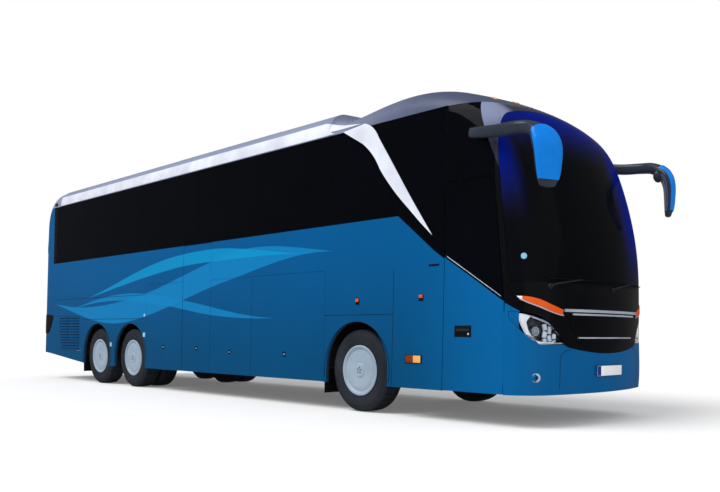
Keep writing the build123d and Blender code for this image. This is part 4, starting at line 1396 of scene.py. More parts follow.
    def bright_bars(self) -> None:
        """Build the double bar across the grille and the thin line below it."""
        form = Form("grille_bars")
        for half, low, high in self.bars:
            band = level_band((-half, 0, half), low, high)
            form.strip(laid(self.skin, from_front, *band, 0.010), Finish.CHROME, 48, 12, 0.020)
        form.done()

    def grille(self) -> None:
        """Build the slats of the grille under and over the thin bright line."""
        form = Form("grille_slats")
        for half, z in self.slats:
            band = level_band((-half, 0, half), z, z + self.slat_height)
            form.strip(laid(self.skin, from_front, *band, 0.003), Finish.GLOSS_BLACK, 40, 10, 0.012)
        form.done()

    def bumper_seams(self) -> None:
        """Build the seams beside the bumper's middle, from its foot round to the grille."""
        form = Form("bumper_seams")
        for _, sign in SIDES:
            def where(along: float, turn: float) -> Vector:
                """Point on the seam's bead.

                Args:
                    along: Share along it.
                    turn: Share round it.

                Returns:
                    The point.
                """
                flat = curve_at(self.bumper_seam, along)
                ahead = curve_at(self.bumper_seam, along + 0.02) - curve_at(self.bumper_seam, along - 0.02)
                side = Vector((-ahead[1], ahead[0])).normalized() * 0.0028 * math.cos(turn * math.tau)
                place, normal = self.skin.meet(from_front(sign * (flat[0] + side[0]), flat[1] + side[1]))
                return place + normal * (0.0006 + 0.001 * math.sin(turn * math.tau))

            form.weave(where, Finish.SEAL, 48, 6)
        form.done()

    def number_plate(self) -> None:
        """Build the blank number plate with its blue end and frame."""
        form = Form("number_plate")
        width, height, band = self.plate_width, self.plate_height, self.plate_band
        thick, frame_width = self.plate_thick, self.plate_frame
        face = Matrix.Translation((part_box("front_body")[1][0] + frame_width, 0, self.plate_z))
        size = (2 * thick, width + 2 * frame_width, height + 2 * frame_width)
        form.box(Block(Finish.PLASTIC, size, 0.002), face)
        face = Matrix.Translation((thick, 0, 0)) @ face
        form.box(Block(Finish.PLATE, (thick, width, height), 0.001), face)
        end = Matrix.Translation((0.0008, -(width - band) / 2 + 0.001, 0)) @ face
        form.box(Block(Finish.BAND, (thick, band, height - frame_width), 0.001), end)
        form.done()

    def towing_eye(self) -> None:
        """Build the bright ring round the towing eye's socket."""
        form = Form("towing_eye_ring")
        y, z = self.tow_eye
        skin = Skin("front_body")
        radius = self.tow_radius
        places = [skin.meet(from_front(y + radius * math.cos(angle), z + radius * math.sin(angle)))
                  for angle in (0.0, 1.57, 3.14, 4.71)]
        middle = sum((place for place, _ in places), Vector()) / 4
        normal = sum((out for _, out in places), Vector())
        form.lathe(facing(middle, normal), self.tow_ring)
        form.done()

    def sticker(self) -> None:
        """Build the small blank disc in the windscreen's lower corner."""
        form = Form("windscreen_disc")
        form.lathe(facing(*Skin("windscreen").meet(from_front(*self.disc_spot))), self.disc)
        form.done()

    def wipers(self) -> None:
        """Build the two wipers: pivot, tapered arm and blade, lying low on the glass."""
        for side, sign in SIDES:
            form = Form(f"wiper_{side}")
            inner, outer = sorted(sign * reach for reach in self.wiper_reach)

            def spot(y: float, z: float, proud: float) -> Vector:
                """Point over the glass."""
                place, normal = self.skin.meet(from_front(y, z))
                return place + normal * proud

            blade = [spot(mix(inner, outer, step / 8), self.wiper_z, 0.012) for step in range(9)]
            form.tube(blade, lambda share: 0.0065, Finish.SEAL, 40, 8)
            end_share, end_z, end_proud = self.arm_end
            arm = [spot(inner + along, z, proud) for along, z, proud in self.arm]
            arm.append(spot(mix(inner, outer, end_share), end_z, end_proud))
            form.tube(arm, lambda share: mix(0.014, 0.007, share), Finish.PLASTIC, 28, 10)
            start, pivot_z, _ = self.arm[0]
            form.lathe(facing(*self.skin.meet(from_front(inner + start, pivot_z))), self.pivot)
            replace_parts(form.done(), "wipers")

    def build(self) -> None:
        """Make the front's pieces."""
        for side, sign in SIDES:
            self.headlamp(side, sign)
            self.indicator(side, sign)
        self.bright_bars()
        self.grille()
        self.bumper_seams()
        self.number_plate()
        self.towing_eye()
        self.sticker()
        self.wipers()


# ---------------------------------------------------------------------------- mirrors
@dataclass
class Mirrors:
    """Two drooping horn mirrors with a blue face, a glass and a wide-angle pod."""

    spine: tuple[Point, ...] = (
        (5.40, 1.205, 3.180), (5.62, 1.245, 3.145), (5.86, 1.295, 3.110), (6.09, 1.320, 3.095),
        (6.25, 1.305, 3.070), (6.375, 1.305, 3.005), (6.445, 1.305, 2.915), (6.475, 1.305, 2.82),
        (6.482, 1.305, 2.70), (6.480, 1.302, 2.56), (6.465, 1.298, 2.44))
    # half width and half depth at each point of the spine
    halves: Curve = ((0.034, 0.054), (0.044, 0.062), (0.050, 0.066), (0.056, 0.066), (0.080, 0.068),
                     (0.124, 0.072), (0.145, 0.074), (0.148, 0.070), (0.138, 0.064), (0.118, 0.054),
                     (0.080, 0.034))
    toe: float = 30.0
    toe_start: float = 0.3
    toe_length: float = 0.25
    closed_end: float = 0.035
    squareness: float = 2.6
    # shares along the horn, shares round it, height off the shell and thickness
    face: tuple = ((0.49, 0.93), (0.03, 0.485), 0.004, 0.008)
    glass: tuple = ((0.56, 0.94), (0.58, 0.92), 0.001, 0.006)
    pod_middle: Point = (6.37, 1.225, 2.95)
    pod_half: Point = (0.06, 0.07, 0.08)

    def shell(self, sign: int, along: float, turn: float, swell: float = 0.0) -> Vector:
        """Point on the horn's shell.

        Args:
            sign: Side of the coach.
            along: Share of the way from root to tip.
            turn: Share of the way round, from its outer side over its front.
            swell: How far out from the shell.

        Returns:
            The point.
        """
        middle = curve_at(self.spine, along)
        ahead = (curve_at(self.spine, along + 0.02) - curve_at(self.spine, along - 0.02)).normalized()
        toe = math.radians(self.toe) * min(1.0, max(0.0, (along - self.toe_start) / self.toe_length))
        out = Vector((-math.sin(toe), math.cos(toe), 0))
        out = (out - ahead * out.dot(ahead)).normalized()
        front = ahead.cross(out)
        half = curve_at(self.halves, along)
        close = min(1.0, (1 - along) / self.closed_end)
        close = math.sqrt(max(0.0, 1 - (1 - close) ** 2))
        c, s = math.cos(turn * math.tau), math.sin(turn * math.tau)
        reach = close * (abs(c) ** self.squareness + abs(s) ** self.squareness) ** (-1 / self.squareness)
        place = middle + out * c * (half[0] * reach + swell) + front * s * (half[1] * reach + swell)
        return Vector((place.x, sign * place.y, place.z))

    def patch(self, form: Form, sign: int, layout: tuple, finish: Finish, columns: int, rows: int) -> None:
        """Add a panel laid on part of the shell.

        Args:
            form: The piece that takes it.
            sign: -1 for the right side, 1 for the left.
            layout: Shares along and round, height off the shell and thickness.
            finish: Its finish.
            columns: Steps along it.
            rows: Steps round its section.
        """
        lengthwise, round_it, proud, thick = layout

        def where(along: float, up: float, lift: float) -> Vector:
            """Point on the panel."""
            return self.shell(sign, mix(*lengthwise, along), mix(*round_it, up), proud + lift)

        form.strip(where, finish, columns, rows, thick)

    def pod(self, form: Form, sign: int) -> None:
        """Add the wide-angle mirror behind the horn.

        Args:
            form: The piece that takes it.
            sign: -1 for the right side, 1 for the left.
        """
        def where(along: float, turn: float) -> Vector:
            """Point on the pod's egg.

            Args:
                along: Share from its top.
                turn: Share round it.

            Returns:
                The point.
            """
            lift, angle = math.pi * along, math.tau * turn
            way = (math.sin(lift) * math.cos(angle), math.sin(lift) * math.sin(angle), math.cos(lift))
            place = Vector(self.pod_middle) + Matrix.Diagonal(self.pod_half) @ Vector(way)
            return Vector((place.x, sign * place.y, place.z))

        form.weave(where, Finish.MIRROR, 16, 24)

    def build(self) -> None:
        """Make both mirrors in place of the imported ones."""
        for side, sign in SIDES:
            form = Form(f"mirror_{side}")
            form.weave(lambda along, turn: self.shell(sign, along, turn), Finish.MIRROR, 80, 48)
            self.patch(form, sign, self.face, Finish.BLUE_GLOSS, 40, 56)
            self.patch(form, sign, self.glass, Finish.MIRROR_GLASS, 24, 24)
            self.pod(form, sign)
            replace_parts(form.done(), "mirrors")


# ---------------------------------------------------------------------------- flanks
@dataclass
class Flanks:
    """Small lamps, locks, reflectors, handles and seams of the sides."""

    marker_x: float = 4.605
    marker_z: float = 0.69
    # distance along, height off the wall, and shape
    marker: tuple[tuple[float, float, Block], ...] = (
        (0.0, 0.003, Block(Finish.SEAL, (0.272, 0.098, 0.010))),
        (-0.062, 0.006, Block(Finish.AMBER_DARK, (0.12, 0.084, 0.016), 0.006, 3)),
        (0.062, 0.006, Block(Finish.AMBER_PALE, (0.12, 0.084, 0.018), 0.006, 3)),
    )
    squares: Curve = ((2.12, 1.39), (3.61, 1.39), (4.71, 1.41))
    square_back: Block = Block(Finish.SEAL, (0.07, 0.075, 0.010))
    square_lens: Block = Block(Finish.AMBER, (0.056, 0.04, 0.016), 0.005, 3)
    # x, z and side length
    reflectors: tuple[Point, ...] = ((-1.92, 0.93, 0.075), (-3.19, 0.745, 0.075), (-1.92, 1.27, 0.05))
    locks: tuple = ((-1.24, 0.73, "flap_right_rear"), (-0.19, 0.73, "mid_door"),
                    (0.75, 0.69, "flap_right_middle"), (2.12, 0.69, "flap_right_front"))
    lock_cup: Turned = Turned(Finish.SEAL, 28, (
        (-0.004, 0.038), (0.003, 0.037), (0.005, 0.033), (0.001, 0.029), (-0.002, 0.0)))
    lock_bar: Block = Block(Finish.CHROME, (0.04, 0.013, 0.012), 0.003)
    handle_x: Flat = (5.24, 5.46)
    handle_z: Flat = (0.96, 1.07)
    keyhole: Turned = Turned(Finish.CHROME, 20, ((0.002, 0.014), (0.005, 0.012), (0.005, 0.0)))
    keyhole_shift: Point = (0.08, -0.001, -0.03)
    grip_shift: Point = (0, -0.002, 0.012)
    slot_spot: Flat = (4.9, 1.765)
    slot: Block = Block(Finish.SEAL, (0.16, 0.022, 0.006), 0.002)
    trim_x: Flat = (5.10, 5.87)
    trim_top: Flat = (5.06, 1.872)
    trim_slope: float = 0.6
    level_seams: tuple[Point, ...] = ((-4.46, -1.94, 1.21), (2.97, 4.25, 1.21), (-6.0, -1.93, 1.62))
    upright_seams: tuple[Point, ...] = ((4.246, 0.37, 1.76),)
    seam_width: float = 0.006
    grille_x: Flat = (-5.56, -4.60)
    grille_z: Flat = (0.62, 1.27)
    grille_rows: int = 12
    grille_lean: float = 0.12
    grille_gap: float = 0.02
    mud_flap_x: Flat = (2.96, -4.43)
    mud_flap_y: float = 1.07
    mud_flap_z: float = 0.37
    mud_flap: Block = Block(Finish.SEAL, (0.012, 0.34, 0.33))
    mud_rail: Block = Block(Finish.STEEL, (0.03, 0.30, 0.03))
    wedge_low: Curve = ((-6.30, 0.93), (-6.10, 0.95), (-5.97, 1.10), (-5.88, 1.285))
    wedge_high: Curve = ((-6.30, 1.33), (-6.10, 1.325), (-5.97, 1.315), (-5.88, 1.30))
    roof_marker_spot: Flat = (-5.84, 3.60)
    roof_marker: Block = Block(Finish.LAMP_RED, (0.13, 0.06, 0.03), 0.01, 3)
    axle_z: float = 0.52
    lip_radius: float = 0.607
    lip_seat: float = 0.63
    lip_thick: float = 0.007
    lip_foot: float = 0.40

    def __post_init__(self) -> None:
        """Gather the surfaces of both sides."""
        self.skins = {
            -1: Skin("side_wall_right", "front_body", "front_door", "mid_door", "flap_right_rear",
                     "flap_right_middle", "flap_right_front", "radiator_flap", "cab_frame"),
            1: Skin("side_wall_left", "front_body", "flap_left_rear", "flap_left_middle", "flap_left_front",
                    "cab_frame"),
        }

    def spot(self, sign: int, x: float, z: float, proud: float = 0.0) -> Matrix:
        """Place on a side, with local z out of it."""
        place, normal = self.skins[sign].meet(from_side(sign)(x, z), 1.75)
        return facing(place + normal * proud, normal)

    def lamps(self, side: str, sign: int) -> None:
        """Build the side's marker lamps and reflectors.

        Args:
            side: Name of the side.
            sign: -1 for the right side, 1 for the left.
        """
        form = Form(f"side_lamps_{side}")
        for shift, proud, block in self.marker:
            form.box(block, self.spot(sign, self.marker_x + shift, self.marker_z, proud))
        for x, z in self.squares[1:] if sign < 0 else self.squares:
            form.box(self.square_back, self.spot(sign, x, z - 0.01, 0.002))
            form.box(self.square_lens, self.spot(sign, x, z + 0.004, 0.005))
        for x, z, size in self.reflectors:
            form.box(Block(Finish.REFLECTOR, (size, size, 0.010)), self.spot(sign, x, z, 0.004))
        form.done()

    def lock(self, x: float, z: float, body: str) -> None:
        """Build one round lock on a flap or on the middle door.

        Args:
            x: Place along the coach.
            z: Height.
            body: The body it rides on.
        """
        form = Form(f"lock_{body}", body)
        form.lathe(self.spot(-1, x, z), self.lock_cup)
        form.box(self.lock_bar, self.spot(-1, x, z, 0.002))
        form.done()

    def door_handle(self) -> None:
        """Build the front door's handle with its recess and its lock."""
        form = Form("door_handle", "front_door")
        (x0, x1), (z0, z1) = self.handle_x, self.handle_z
        seat = self.spot(-1, x0 - 0.02, (z0 + z1) / 2, 0.001)
        seat = Matrix.Translation(((x1 - x0) / 2 + 0.02, 0, 0)) @ seat
        form.box(Block(Finish.SEAL, (x1 - x0 + 0.02, z1 - z0 + 0.016, 0.004), 0.0015), seat)
        form.box(Block(Finish.PLASTIC, (x1 - x0 - 0.02, 0.03, 0.014), 0.005, 3),
                 Matrix.Translation(self.grip_shift) @ seat)
        form.lathe(Matrix.Translation(self.keyhole_shift) @ seat, self.keyhole)
        form.done()

    def belt_slot(self) -> None:
        """Build the dark slot in the belt beside the front door."""
        form = Form("belt_slot")
        form.box(self.slot, self.spot(-1, *self.slot_spot, 0.001))
        form.done()

    def door_trim(self) -> None:
        """Build the bright line along the foot of the front door's glass."""
        form = Form("door_belt_trim", "front_door")
        skin = Skin("front_door", "front_door_glass")

        def where(along: float, turn: float) -> Vector:
            """Point on the bright line.

            Args:
                along: Share along it.
                turn: Share round it.

            Returns:
                The point.
            """
            x = mix(*self.trim_x, along)
            z = self.trim_top[1] - (x - self.trim_top[0]) * self.trim_slope
            place, normal = skin.meet(from_side(-1)(x, z), 1.78)
            angle = math.tau * turn
            rise = Vector((0, 0, 0.006 * math.sin(angle)))
            return place + normal * (0.003 + 0.004 * math.cos(angle)) + rise

        form.weave(where, Finish.CHROME, 24, 8)
        form.done()

    def seams(self) -> None:
        """Build the level and upright seams of the side panels."""
        form = Form("panel_seams")
        for _, sign in SIDES:
            bands = [level_band((start, end), z, z + self.seam_width) for start, end, z in self.level_seams]
            for x, foot, top in self.upright_seams:
                ahead = x + self.seam_width
                bands.append((((ahead, foot), (ahead, top)), ((x, foot), (x, top))))
            for band in bands:
                form.strip(laid(self.skins[sign], from_side(sign), *band, 0.0006), Finish.SEAL, 24, 6, 0.002)
        form.done()

    def louvres(self) -> None:
        """Build the two columns of slanted blades on the radiator's flap, each over a dark strip of painted
        shade.
        """
        form = Form("radiator_louvres", "radiator_flap")
        x0, x1 = self.grille_x
        middle = (x0 + x1) / 2
        for row in range(self.grille_rows):
            z = mix(*self.grille_z, (row + 0.5) / self.grille_rows)
            lean = self.grille_lean * (1 - row / self.grille_rows) ** 2
            for start, end in ((x0 + lean, middle - self.grille_gap), (middle + self.grille_gap, x1)):
                centre, length = (start + end) / 2, end - start
                # the dark strip under each blade is painted shade in the gap between blades
                form.box(Block(Finish.SEAL, (length, 0.012, 0.010), 0.002), self.spot(-1, centre, z, 0.003))
                form.box(Block(Finish.LOUVRE, (length, 0.016, 0.014), 0.005),
                         self.spot(-1, centre, z + 0.013, 0.006))
        form.done()

    def mud_flaps(self) -> None:
        """Build the rubber flaps behind the front and the last wheels, hung under the floor."""
        form = Form("mud_flaps")
        for x in self.mud_flap_x:
            for _, sign in SIDES:
                place = Matrix.Translation((x, sign * self.mud_flap_y, self.mud_flap_z))
                form.box(self.mud_flap, place)
                form.box(self.mud_rail, Matrix.Translation((0, 0, self.mud_flap.size[2] / 2)) @ place)
        form.done()

    def tail_wedges(self) -> None:
        """Build the dark ends of the tail lamps that wrap round to the sides, and the roof's rear markers."""
        form = Form("tail_wedges")
        roof = Skin("roof_panel")
        for side, sign in SIDES:
            skin = Skin("rear_mask", f"side_wall_{side}")
            form.strip(laid(skin, from_side(sign), self.wedge_low, self.wedge_high, 0.003),
                       Finish.LAMP_SMOKED, 20, 16, 0.012)
            form.box(self.roof_marker, facing(*roof.meet(from_side(sign)(*self.roof_marker_spot), 1.8)))
        form.done()

    def arches(self) -> None:
        """Build the rubber lips round the wheel openings."""
        for side, sign in SIDES:
            form = Form(f"arch_lips_{side}")
            wall = Skin(f"side_wall_{side}")
            for axle in AXLES:
                low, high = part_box(f"{axle}_wheel_{side}")
                centre = (low[0] + high[0]) / 2

                def where(along: float, turn: float) -> Vector:
                    """Point on the rubber lip.

                    Args:
                        along: Share along it.
                        turn: Share round it.

                    Returns:
                        The point.
                    """
                    angle = math.radians(mix(-12, 192, along))
                    c, s, wide = math.cos(angle), math.sin(angle), math.tau * turn
                    seat_z = max(self.lip_foot + 0.02, self.axle_z + self.lip_seat * s)
                    place, _ = wall.meet(from_side(sign)(centre + self.lip_seat * c, seat_z), 1.73)
                    flat = Vector((centre + self.lip_radius * c,
                                   max(self.lip_foot, self.axle_z + self.lip_radius * s)))
                    flat += Vector((c, s)) * self.lip_thick * math.cos(wide)
                    inwards = 0.004 - self.lip_thick * math.sin(wide)
                    return Vector((flat[0], place.y - sign * inwards, flat[1]))

                form.weave(where, Finish.SEAL, 40, 8)
            form.done()

    def build(self) -> None:
        """Make the sides' pieces."""
        for side, sign in SIDES:
            self.lamps(side, sign)
        for x, z, body in self.locks:
            self.lock(x, z, body)
        self.door_handle()
        self.belt_slot()
        self.seams()
        self.louvres()
        self.mud_flaps()
        self.tail_wedges()
        self.door_trim()
        self.arches()


# ---------------------------------------------------------------------------- cabin
@dataclass
class Cabin:
    """Seats in pairs along both sides of the aisle, and the driver's seat.

    A seat's foot is at floor level under the back edge of its base.
    """

    deck_z: float = 1.64
    pitch: float = 0.8
    rows: int = 13
    first_x: float = 4.0
    columns: tuple[float, ...] = (-0.925, -0.465, 0.465, 0.925)
    door_x: Flat = (-0.65, 0.2)
    seat_x: Flat = (-0.25, 0.48)
    driver: Point = (4.74, 0.64, 0.95)
    base_pad: Point = (0.46, 0.44, 0.11)
    back_pad: Point = (0.60, 0.44, 0.12)
    head_pad: Point = (0.15, 0.3168, 0.10)
    lean: float = -14.5
    back_shell: Block = Block(Finish.PLASTIC, (0.014, 0.41, 0.62), 0.006)
    base_shell: Block = Block(Finish.PLASTIC, (0.42, 0.38, 0.03), 0.008)
    armrest: Block = Block(Finish.PLASTIC, (0.30, 0.035, 0.045), 0.012, 3)
    leg: Block = Block(Finish.STEEL, (0.05, 0.03, 0.37), 0.006)
    # places from the seat's foot; the head's and the shell's from the middle of its back
    base_spot: Point = (0.235, 0, 0.44)
    base_shell_spot: Point = (0.23, 0, 0.375)
    back_spot: Point = (-0.085, 0, 0.76)
    head_spot: Point = (0.018, 0, 0.34)
    back_shell_spot: Point = (-0.066, 0, -0.01)
    leg_spots: tuple[Point, ...] = ((0.24, -0.12, 0.19), (0.24, 0.12, 0.19))
    armrest_spot: Point = (0.17, 0.012, 0.62)
    driver_stand: Block = Block(Finish.STEEL, (0.26, 0.20, 0.37), 0.02)
    stand_spot: Point = (0.19, 0, 0.19)

    def places(self) -> list[Flat]:
        """Where the passengers' seats stand: x and y of each.

        Returns:
            The places.
        """
        found = []
        for row in range(self.rows):
            x = self.first_x - self.pitch * row
            over_stairs = x + self.seat_x[1] > self.door_x[0] and x + self.seat_x[0] < self.door_x[1]
            found += [(x, y) for y in self.columns if y > 0 or not over_stairs]
        return found

    def cushion(self, form: Form, size: Point, place: Matrix, channels: int = 0) -> None:
        """Add a crowned pad.

        Args:
            form: The piece that takes it.
            size: Length, width and height.
            place: Where its middle goes.
            channels: Sewn channels along its length.
        """
        shape = bmesh.new()
        bmesh.ops.create_cube(shape, size=2.0)
        bmesh.ops.subdivide_edges(shape, edges=shape.edges[:], cuts=5, use_grid_fill=True)
        for vertex in shape.verts:
            x, y, z = vertex.co
            reach = (abs(x) ** 6 + abs(y) ** 6 + abs(z) ** 6) ** (-1 / 6)
            crown = 1 - 0.16 * max(abs(x), abs(y)) ** 4 if abs(z) > 0.9 else 1.0
            sewn = channels and abs(z) > 0.5
            dip = 0.05 * (1 - abs(math.sin(channels * math.pi * y))) ** 6 if sewn else 0.0
            vertex.co = Vector((x * reach * size[0] / 2, y * reach * size[1] / 2,
                                z * reach * size[2] / 2 * (crown - dip)))
        form.take(shape, Finish.FABRIC, place)

    def seat(self, pads: Form, frames: Form, x: float, y: float, z: float) -> None:
        """Add one seat's pads and its hard parts.

        Args:
            pads: The piece that takes the pads.
            frames: The piece that takes the hard parts.
            x: Place along the coach.
            y: Place across it.
            z: Height.
        """
        foot = Matrix.Translation((x, y, z))
        self.cushion(pads, self.base_pad, foot @ Matrix.Translation(self.base_spot), 2)
        quarter = Matrix.Rotation(math.radians(90), 4, "Y")
        back = foot @ Matrix.Translation(self.back_spot) @ Matrix.Rotation(math.radians(self.lean), 4, "Y")
        self.cushion(pads, self.back_pad, back @ quarter, 2)
        self.cushion(pads, self.head_pad, back @ Matrix.Translation(self.head_spot) @ quarter)
        frames.box(self.back_shell, back @ Matrix.Translation(self.back_shell_spot))
        frames.box(self.base_shell, foot @ Matrix.Translation(self.base_shell_spot))

    def aisle_side(self, frames: Form, x: float, y: float) -> None:
        """Add the armrest and the two legs of a seat beside the aisle.

        Args:
            frames: The piece that takes the hard parts.
            x: Place along the coach.
            y: Place across it.
        """
        foot = Matrix.Translation((x, y, self.deck_z))
        ahead, gap, rise = self.armrest_spot
        edge = -math.copysign(self.base_pad[1] / 2 + gap, y)
        frames.box(self.armrest, foot @ Matrix.Translation((ahead, edge, rise)))
        for spot in self.leg_spots:
            frames.box(self.leg, foot @ Matrix.Translation(spot))

    def build(self) -> None:
        """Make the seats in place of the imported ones."""
        pads, frames = Form("seat_pads"), Form("seat_frames")
        for x, y in self.places():
            self.seat(pads, frames, x, y, self.deck_z)
            if abs(y) == min(abs(column) for column in self.columns):
                self.aisle_side(frames, x, y)
        self.seat(pads, frames, *self.driver)
        frames.box(self.driver_stand, Matrix.Translation(Vector(self.driver) + Vector(self.stand_spot)))
        item = pads.done(50)
        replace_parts(item, "seats")
        frames.done()


# ---------------------------------------------------------------------------- roof and tail
@dataclass
class RoofAndTail:
    """Tail lamps, rear plate, lid louvres, fan guards, aerial and roof markers."""

    lamp_y: float = 1.115
    # height and finish of each round lamp
    lamp_rows: tuple[tuple[float, Finish], ...] = (
        (1.275, Finish.LAMP_RED), (1.17, Finish.AMBER), (1.065, Finish.LAMP_CLEAR))
    lamp_ring: Turned = Turned(Finish.CHROME, 32, (
        (0.0, 0.046), (0.006, 0.045), (0.009, 0.041), (0.006, 0.037)))
    lamp_lens: Curve = ((0.004, 0.038), (0.010, 0.034), (0.014, 0.02), (0.015, 0.0))
    plate_z: float = 0.98
    # place on the lid's face, and shape
    plate_parts: tuple[tuple[Point, Block], ...] = (
        ((0, 0, 0.006), Block(Finish.PLASTIC, (0.532, 0.122, 0.008), 0.002)),
        ((0, 0, 0.011), Block(Finish.PLATE, (0.52, 0.11, 0.004), 0.001)),
        ((0, 0.09, 0.014), Block(Finish.PLASTIC, (0.30, 0.03, 0.03), 0.008)),
    )
    roof_marker_x: float = 5.36
    roof_marker_y: tuple[float, ...] = (-0.75, -0.35, 0.35, 0.75)
    roof_marker: Block = Block(Finish.AMBER_PALE, (0.09, 0.04, 0.02), 0.008, 3)
    aerial_spot: Flat = (5.2, 0.1)
    aerial_foot: Block = Block(Finish.PLASTIC, (0.16, 0.05, 0.03), 0.01, 3)
    fan_shares: tuple[float, ...] = (0.2, 0.5, 0.8)
    fan_y: Flat = (-0.3, 0.3)
    guard_rim: Turned = Turned(Finish.PLASTIC, 40, (
        (-0.01, 0.20), (0.008, 0.20), (0.012, 0.19), (0.004, 0.18), (-0.004, 0.18)))
    guard_radii: tuple[float, ...] = (0.15, 0.11, 0.07)
    guard_cap: Turned = Turned(Finish.PLASTIC, 24, ((-0.004, 0.035), (0.008, 0.032), (0.010, 0.0)))
    lid_rows: int = 6
    lid_pitch: float = 0.05
    lid_first: float = 0.62
    lid_y: float = 0.42
    # a dark strip of painted shade in the gap under each blade
    lid_gap_painted_shade: Block = Block(Finish.SEAL, (0.62, 0.012, 0.008), 0.002)
    lid_blade: Block = Block(Finish.LOUVRE, (0.62, 0.018, 0.012))

    def tail_lamps(self) -> None:
        """Build the round lamps in the corners of the tail."""
        skin = Skin("tail_lamps", "rear_mask")
        for side, sign in SIDES:
            form = Form(f"tail_lamp_rounds_{side}")
            for z, finish in self.lamp_rows:
                place, normal = skin.meet(from_rear(sign * self.lamp_y, z))
                lens = Turned(finish, 32, self.lamp_lens)
                form.lathe(facing(place + normal * 0.001, normal), self.lamp_ring, lens)
            form.done()

    def plate(self) -> None:
        """Build the blank rear plate with its lamp strip."""
        form = Form("rear_number_plate", "engine_lid")
        face = facing(*Skin("engine_lid").meet(from_rear(0.0, self.plate_z)))
        for shift, block in self.plate_parts:
            form.box(block, face @ Matrix.Translation(shift))
        form.done()

    def aerial(self) -> None:
        """Build the low aerial and the marker lamps at the front of the roof."""
        skin = Skin("roof_panel", "cab_frame")
        form = Form("roof_front_fittings")
        spots = [(self.roof_marker, self.roof_marker_x, y) for y in self.roof_marker_y]
        for block, x, y in (*spots, (self.aerial_foot, *self.aerial_spot)):
            form.box(block, facing(*skin.meet(from_above(x, y)), Vector((0, 1, 0))))
        form.done()

    def fans(self) -> None:
        """Build the guard rings over the fans of the roof unit."""
        form = Form("roof_fan_guards")
        low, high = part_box("roof_aircon")
        skin = Skin("roof_aircon")
        rings = [Turned(Finish.SEAL, 32, ((-0.004, radius + 0.006), (0.006, radius + 0.004),
                                          (0.006, radius - 0.004), (-0.004, radius - 0.006)))
                 for radius in self.guard_radii]
        for share in self.fan_shares:
            for y in self.fan_y:
                place, _ = skin.meet(from_above(mix(low[0], high[0], share), y))
                form.lathe(Matrix.Translation(place), self.guard_rim, *rings, self.guard_cap)
        form.done()

    def lid_louvres(self) -> None:
        """Build the blades of the engine lid, each over a dark strip of painted shade; the piece rides open
        with the lid.
        """
        form = Form("engine_lid_louvres", "engine_lid")
        skin = Skin("engine_lid")
        low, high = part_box("engine_lid")
        for row in range(self.lid_rows):
            z = mix(low[2], high[2], self.lid_first) + self.lid_pitch * row
            if z > high[2] - self.lid_pitch:
                break
            for _, sign in SIDES:
                face = facing(*skin.meet(from_rear(sign * self.lid_y, z)))
                # painted shade in the gap, then the blade over it
                form.box(self.lid_gap_painted_shade, face)
                form.box(self.lid_blade, face @ Matrix.Translation((0, 0.014, 0.004)))
        form.done()

    def build(self) -> None:
        """Make the pieces."""
        self.fans()
        self.lid_louvres()
        self.tail_lamps()
        self.plate()
        self.aerial()


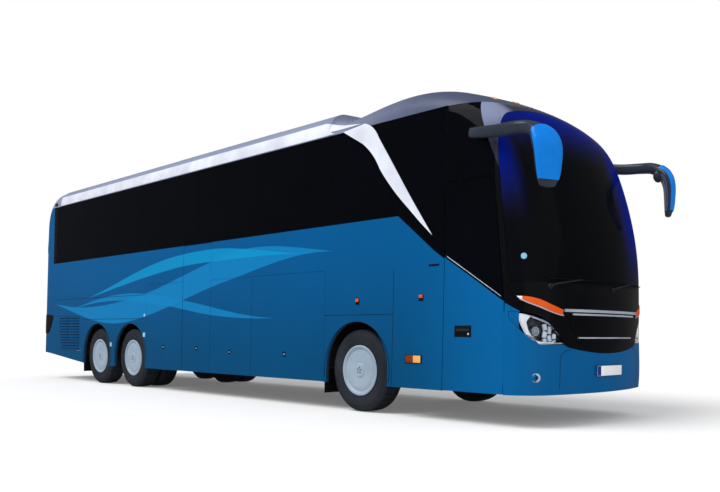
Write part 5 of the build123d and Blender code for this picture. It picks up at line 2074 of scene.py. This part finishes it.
# ---------------------------------------------------------------------------- studio
@dataclass
class Studio:
    """Camera, lamps, floor and background."""

    eye: Point = (10.9123, -7.718, 0.9883)
    yaw: float = 46.88
    pitch: float = -0.79
    roll: float = 0.41
    picture: tuple[int, int] = (720, 492)
    focal_pixels: float = 778.54
    centre_pixel: Flat = (430.27, 344.22)
    sensor: float = 36.0
    floor_half: float = 400.0
    # name, energy, angle across and turn, both in degrees
    suns: tuple = (("key", 2.2, 40, (38, 0, -28)), ("fill", 0.55, 90, (60, 0, 75)))
    sky_level: float = 0.55
    mirrored_level: float = 0.14
    floor_glow: float = 0.14
    floor_colour: Colour = (0.8, 0.8, 0.8)

    def camera(self) -> None:
        """Place the camera."""
        yaw, pitch, roll = (math.radians(a) for a in (self.yaw, self.pitch, self.roll))
        ahead = Vector((-math.cos(yaw) * math.cos(pitch), math.sin(yaw) * math.cos(pitch), math.sin(pitch)))
        level = Vector((math.sin(yaw), math.cos(yaw), 0))
        upright = level.cross(ahead)
        across = level * math.cos(roll) + upright * math.sin(roll)
        over = upright * math.cos(roll) - level * math.sin(roll)
        lens = bpy.data.cameras.new("camera")
        lens.sensor_width = self.sensor
        width, height = self.picture
        lens.lens = self.focal_pixels / width * self.sensor
        lens.shift_x = (width / 2 - self.centre_pixel[0]) / width
        lens.shift_y = (self.centre_pixel[1] - height / 2) / width
        lens.clip_end = 3000
        stand = bpy.data.objects.new("camera", lens)
        turn = Matrix((across, over, -ahead)).transposed().to_4x4()
        stand.matrix_world = Matrix.Translation(self.eye) @ turn
        bpy.context.scene.collection.objects.link(stand)
        bpy.context.scene.camera = stand

    def lamps(self) -> None:
        """Hang two soft suns."""
        for name, energy, angle, turn in self.suns:
            sun = bpy.data.lights.new(name, "SUN")
            sun.energy = energy
            sun.angle = math.radians(angle)
            holder = bpy.data.objects.new(name, sun)
            holder.rotation_euler = [math.radians(a) for a in turn]
            bpy.context.scene.collection.objects.link(holder)

    def sky(self) -> None:
        """White behind the coach and through glass; dimmer as a light and in reflections."""
        world = bpy.data.worlds.new("studio")
        bpy.context.scene.world = world
        world.use_nodes = True
        nodes, links = world.node_tree.nodes, world.node_tree.links
        lit, shown, mirrored = nodes["Background"], *(nodes.new("ShaderNodeBackground") for _ in range(2))
        for node, strength in ((lit, self.sky_level), (shown, 1.0), (mirrored, self.mirrored_level)):
            node.inputs["Color"].default_value = (1, 1, 1, 1)
            node.inputs["Strength"].default_value = strength
        path = nodes.new("ShaderNodeLightPath")
        seen = nodes.new("ShaderNodeMath")
        seen.operation = "MAXIMUM"
        links.new(path.outputs["Is Camera Ray"], seen.inputs[0])
        links.new(path.outputs["Is Transmission Ray"], seen.inputs[1])
        first, second = (nodes.new("ShaderNodeMixShader") for _ in range(2))
        for sources, mixed in (
            ((path.outputs["Is Glossy Ray"], lit.outputs[0], mirrored.outputs[0]), first),
            ((seen.outputs[0], first.outputs[0], shown.outputs[0]), second),
        ):
            for source, socket in zip(sources, mixed.inputs):
                links.new(source, socket)
        links.new(second.outputs[0], nodes["World Output"].inputs[0])

    def floor(self) -> None:
        """Lay a pale floor that keeps the coach's shadow."""
        shape = bmesh.new()
        bmesh.ops.create_grid(shape, x_segments=1, y_segments=1, size=self.floor_half)
        mesh = bpy.data.meshes.new("studio_floor")
        shape.to_mesh(mesh)
        shape.free()
        ground = bpy.data.objects.new("studio_floor", mesh)
        bpy.context.scene.collection.objects.link(ground)
        shade = Shade("studio_floor")
        shade.set(base_color=self.floor_colour, roughness=0.95, specular_ior_level=0.0)
        path = shade.node("ShaderNodeLightPath")
        seen = shade.math("MAXIMUM", path.outputs["Is Camera Ray"], path.outputs["Is Glossy Ray"])
        seen = shade.math("MAXIMUM", seen, path.outputs["Is Transmission Ray"])
        glow = shade.math("MULTIPLY", seen, self.floor_glow)
        shade.set(emission_color=(1.0, 1.0, 1.0), emission_strength=glow)
        mesh.materials.append(shade.material)
        ground.visible_glossy = False

    def build(self) -> None:
        """Set up the whole studio."""
        bpy.context.scene.view_settings.view_transform = "Standard"
        self.camera()
        self.lamps()
        self.sky()
        self.floor()


def main() -> None:
    """Dress the coach."""
    logging.basicConfig(level=logging.INFO, format="%(name)s: %(message)s")
    Studio().build()
    CarriedNodes().dress()
    for assembly in (Wheel(), Front(), Mirrors(), Flanks(), Cabin(), RoofAndTail()):
        assembly.build()


if __name__ == "__main__":
    main()
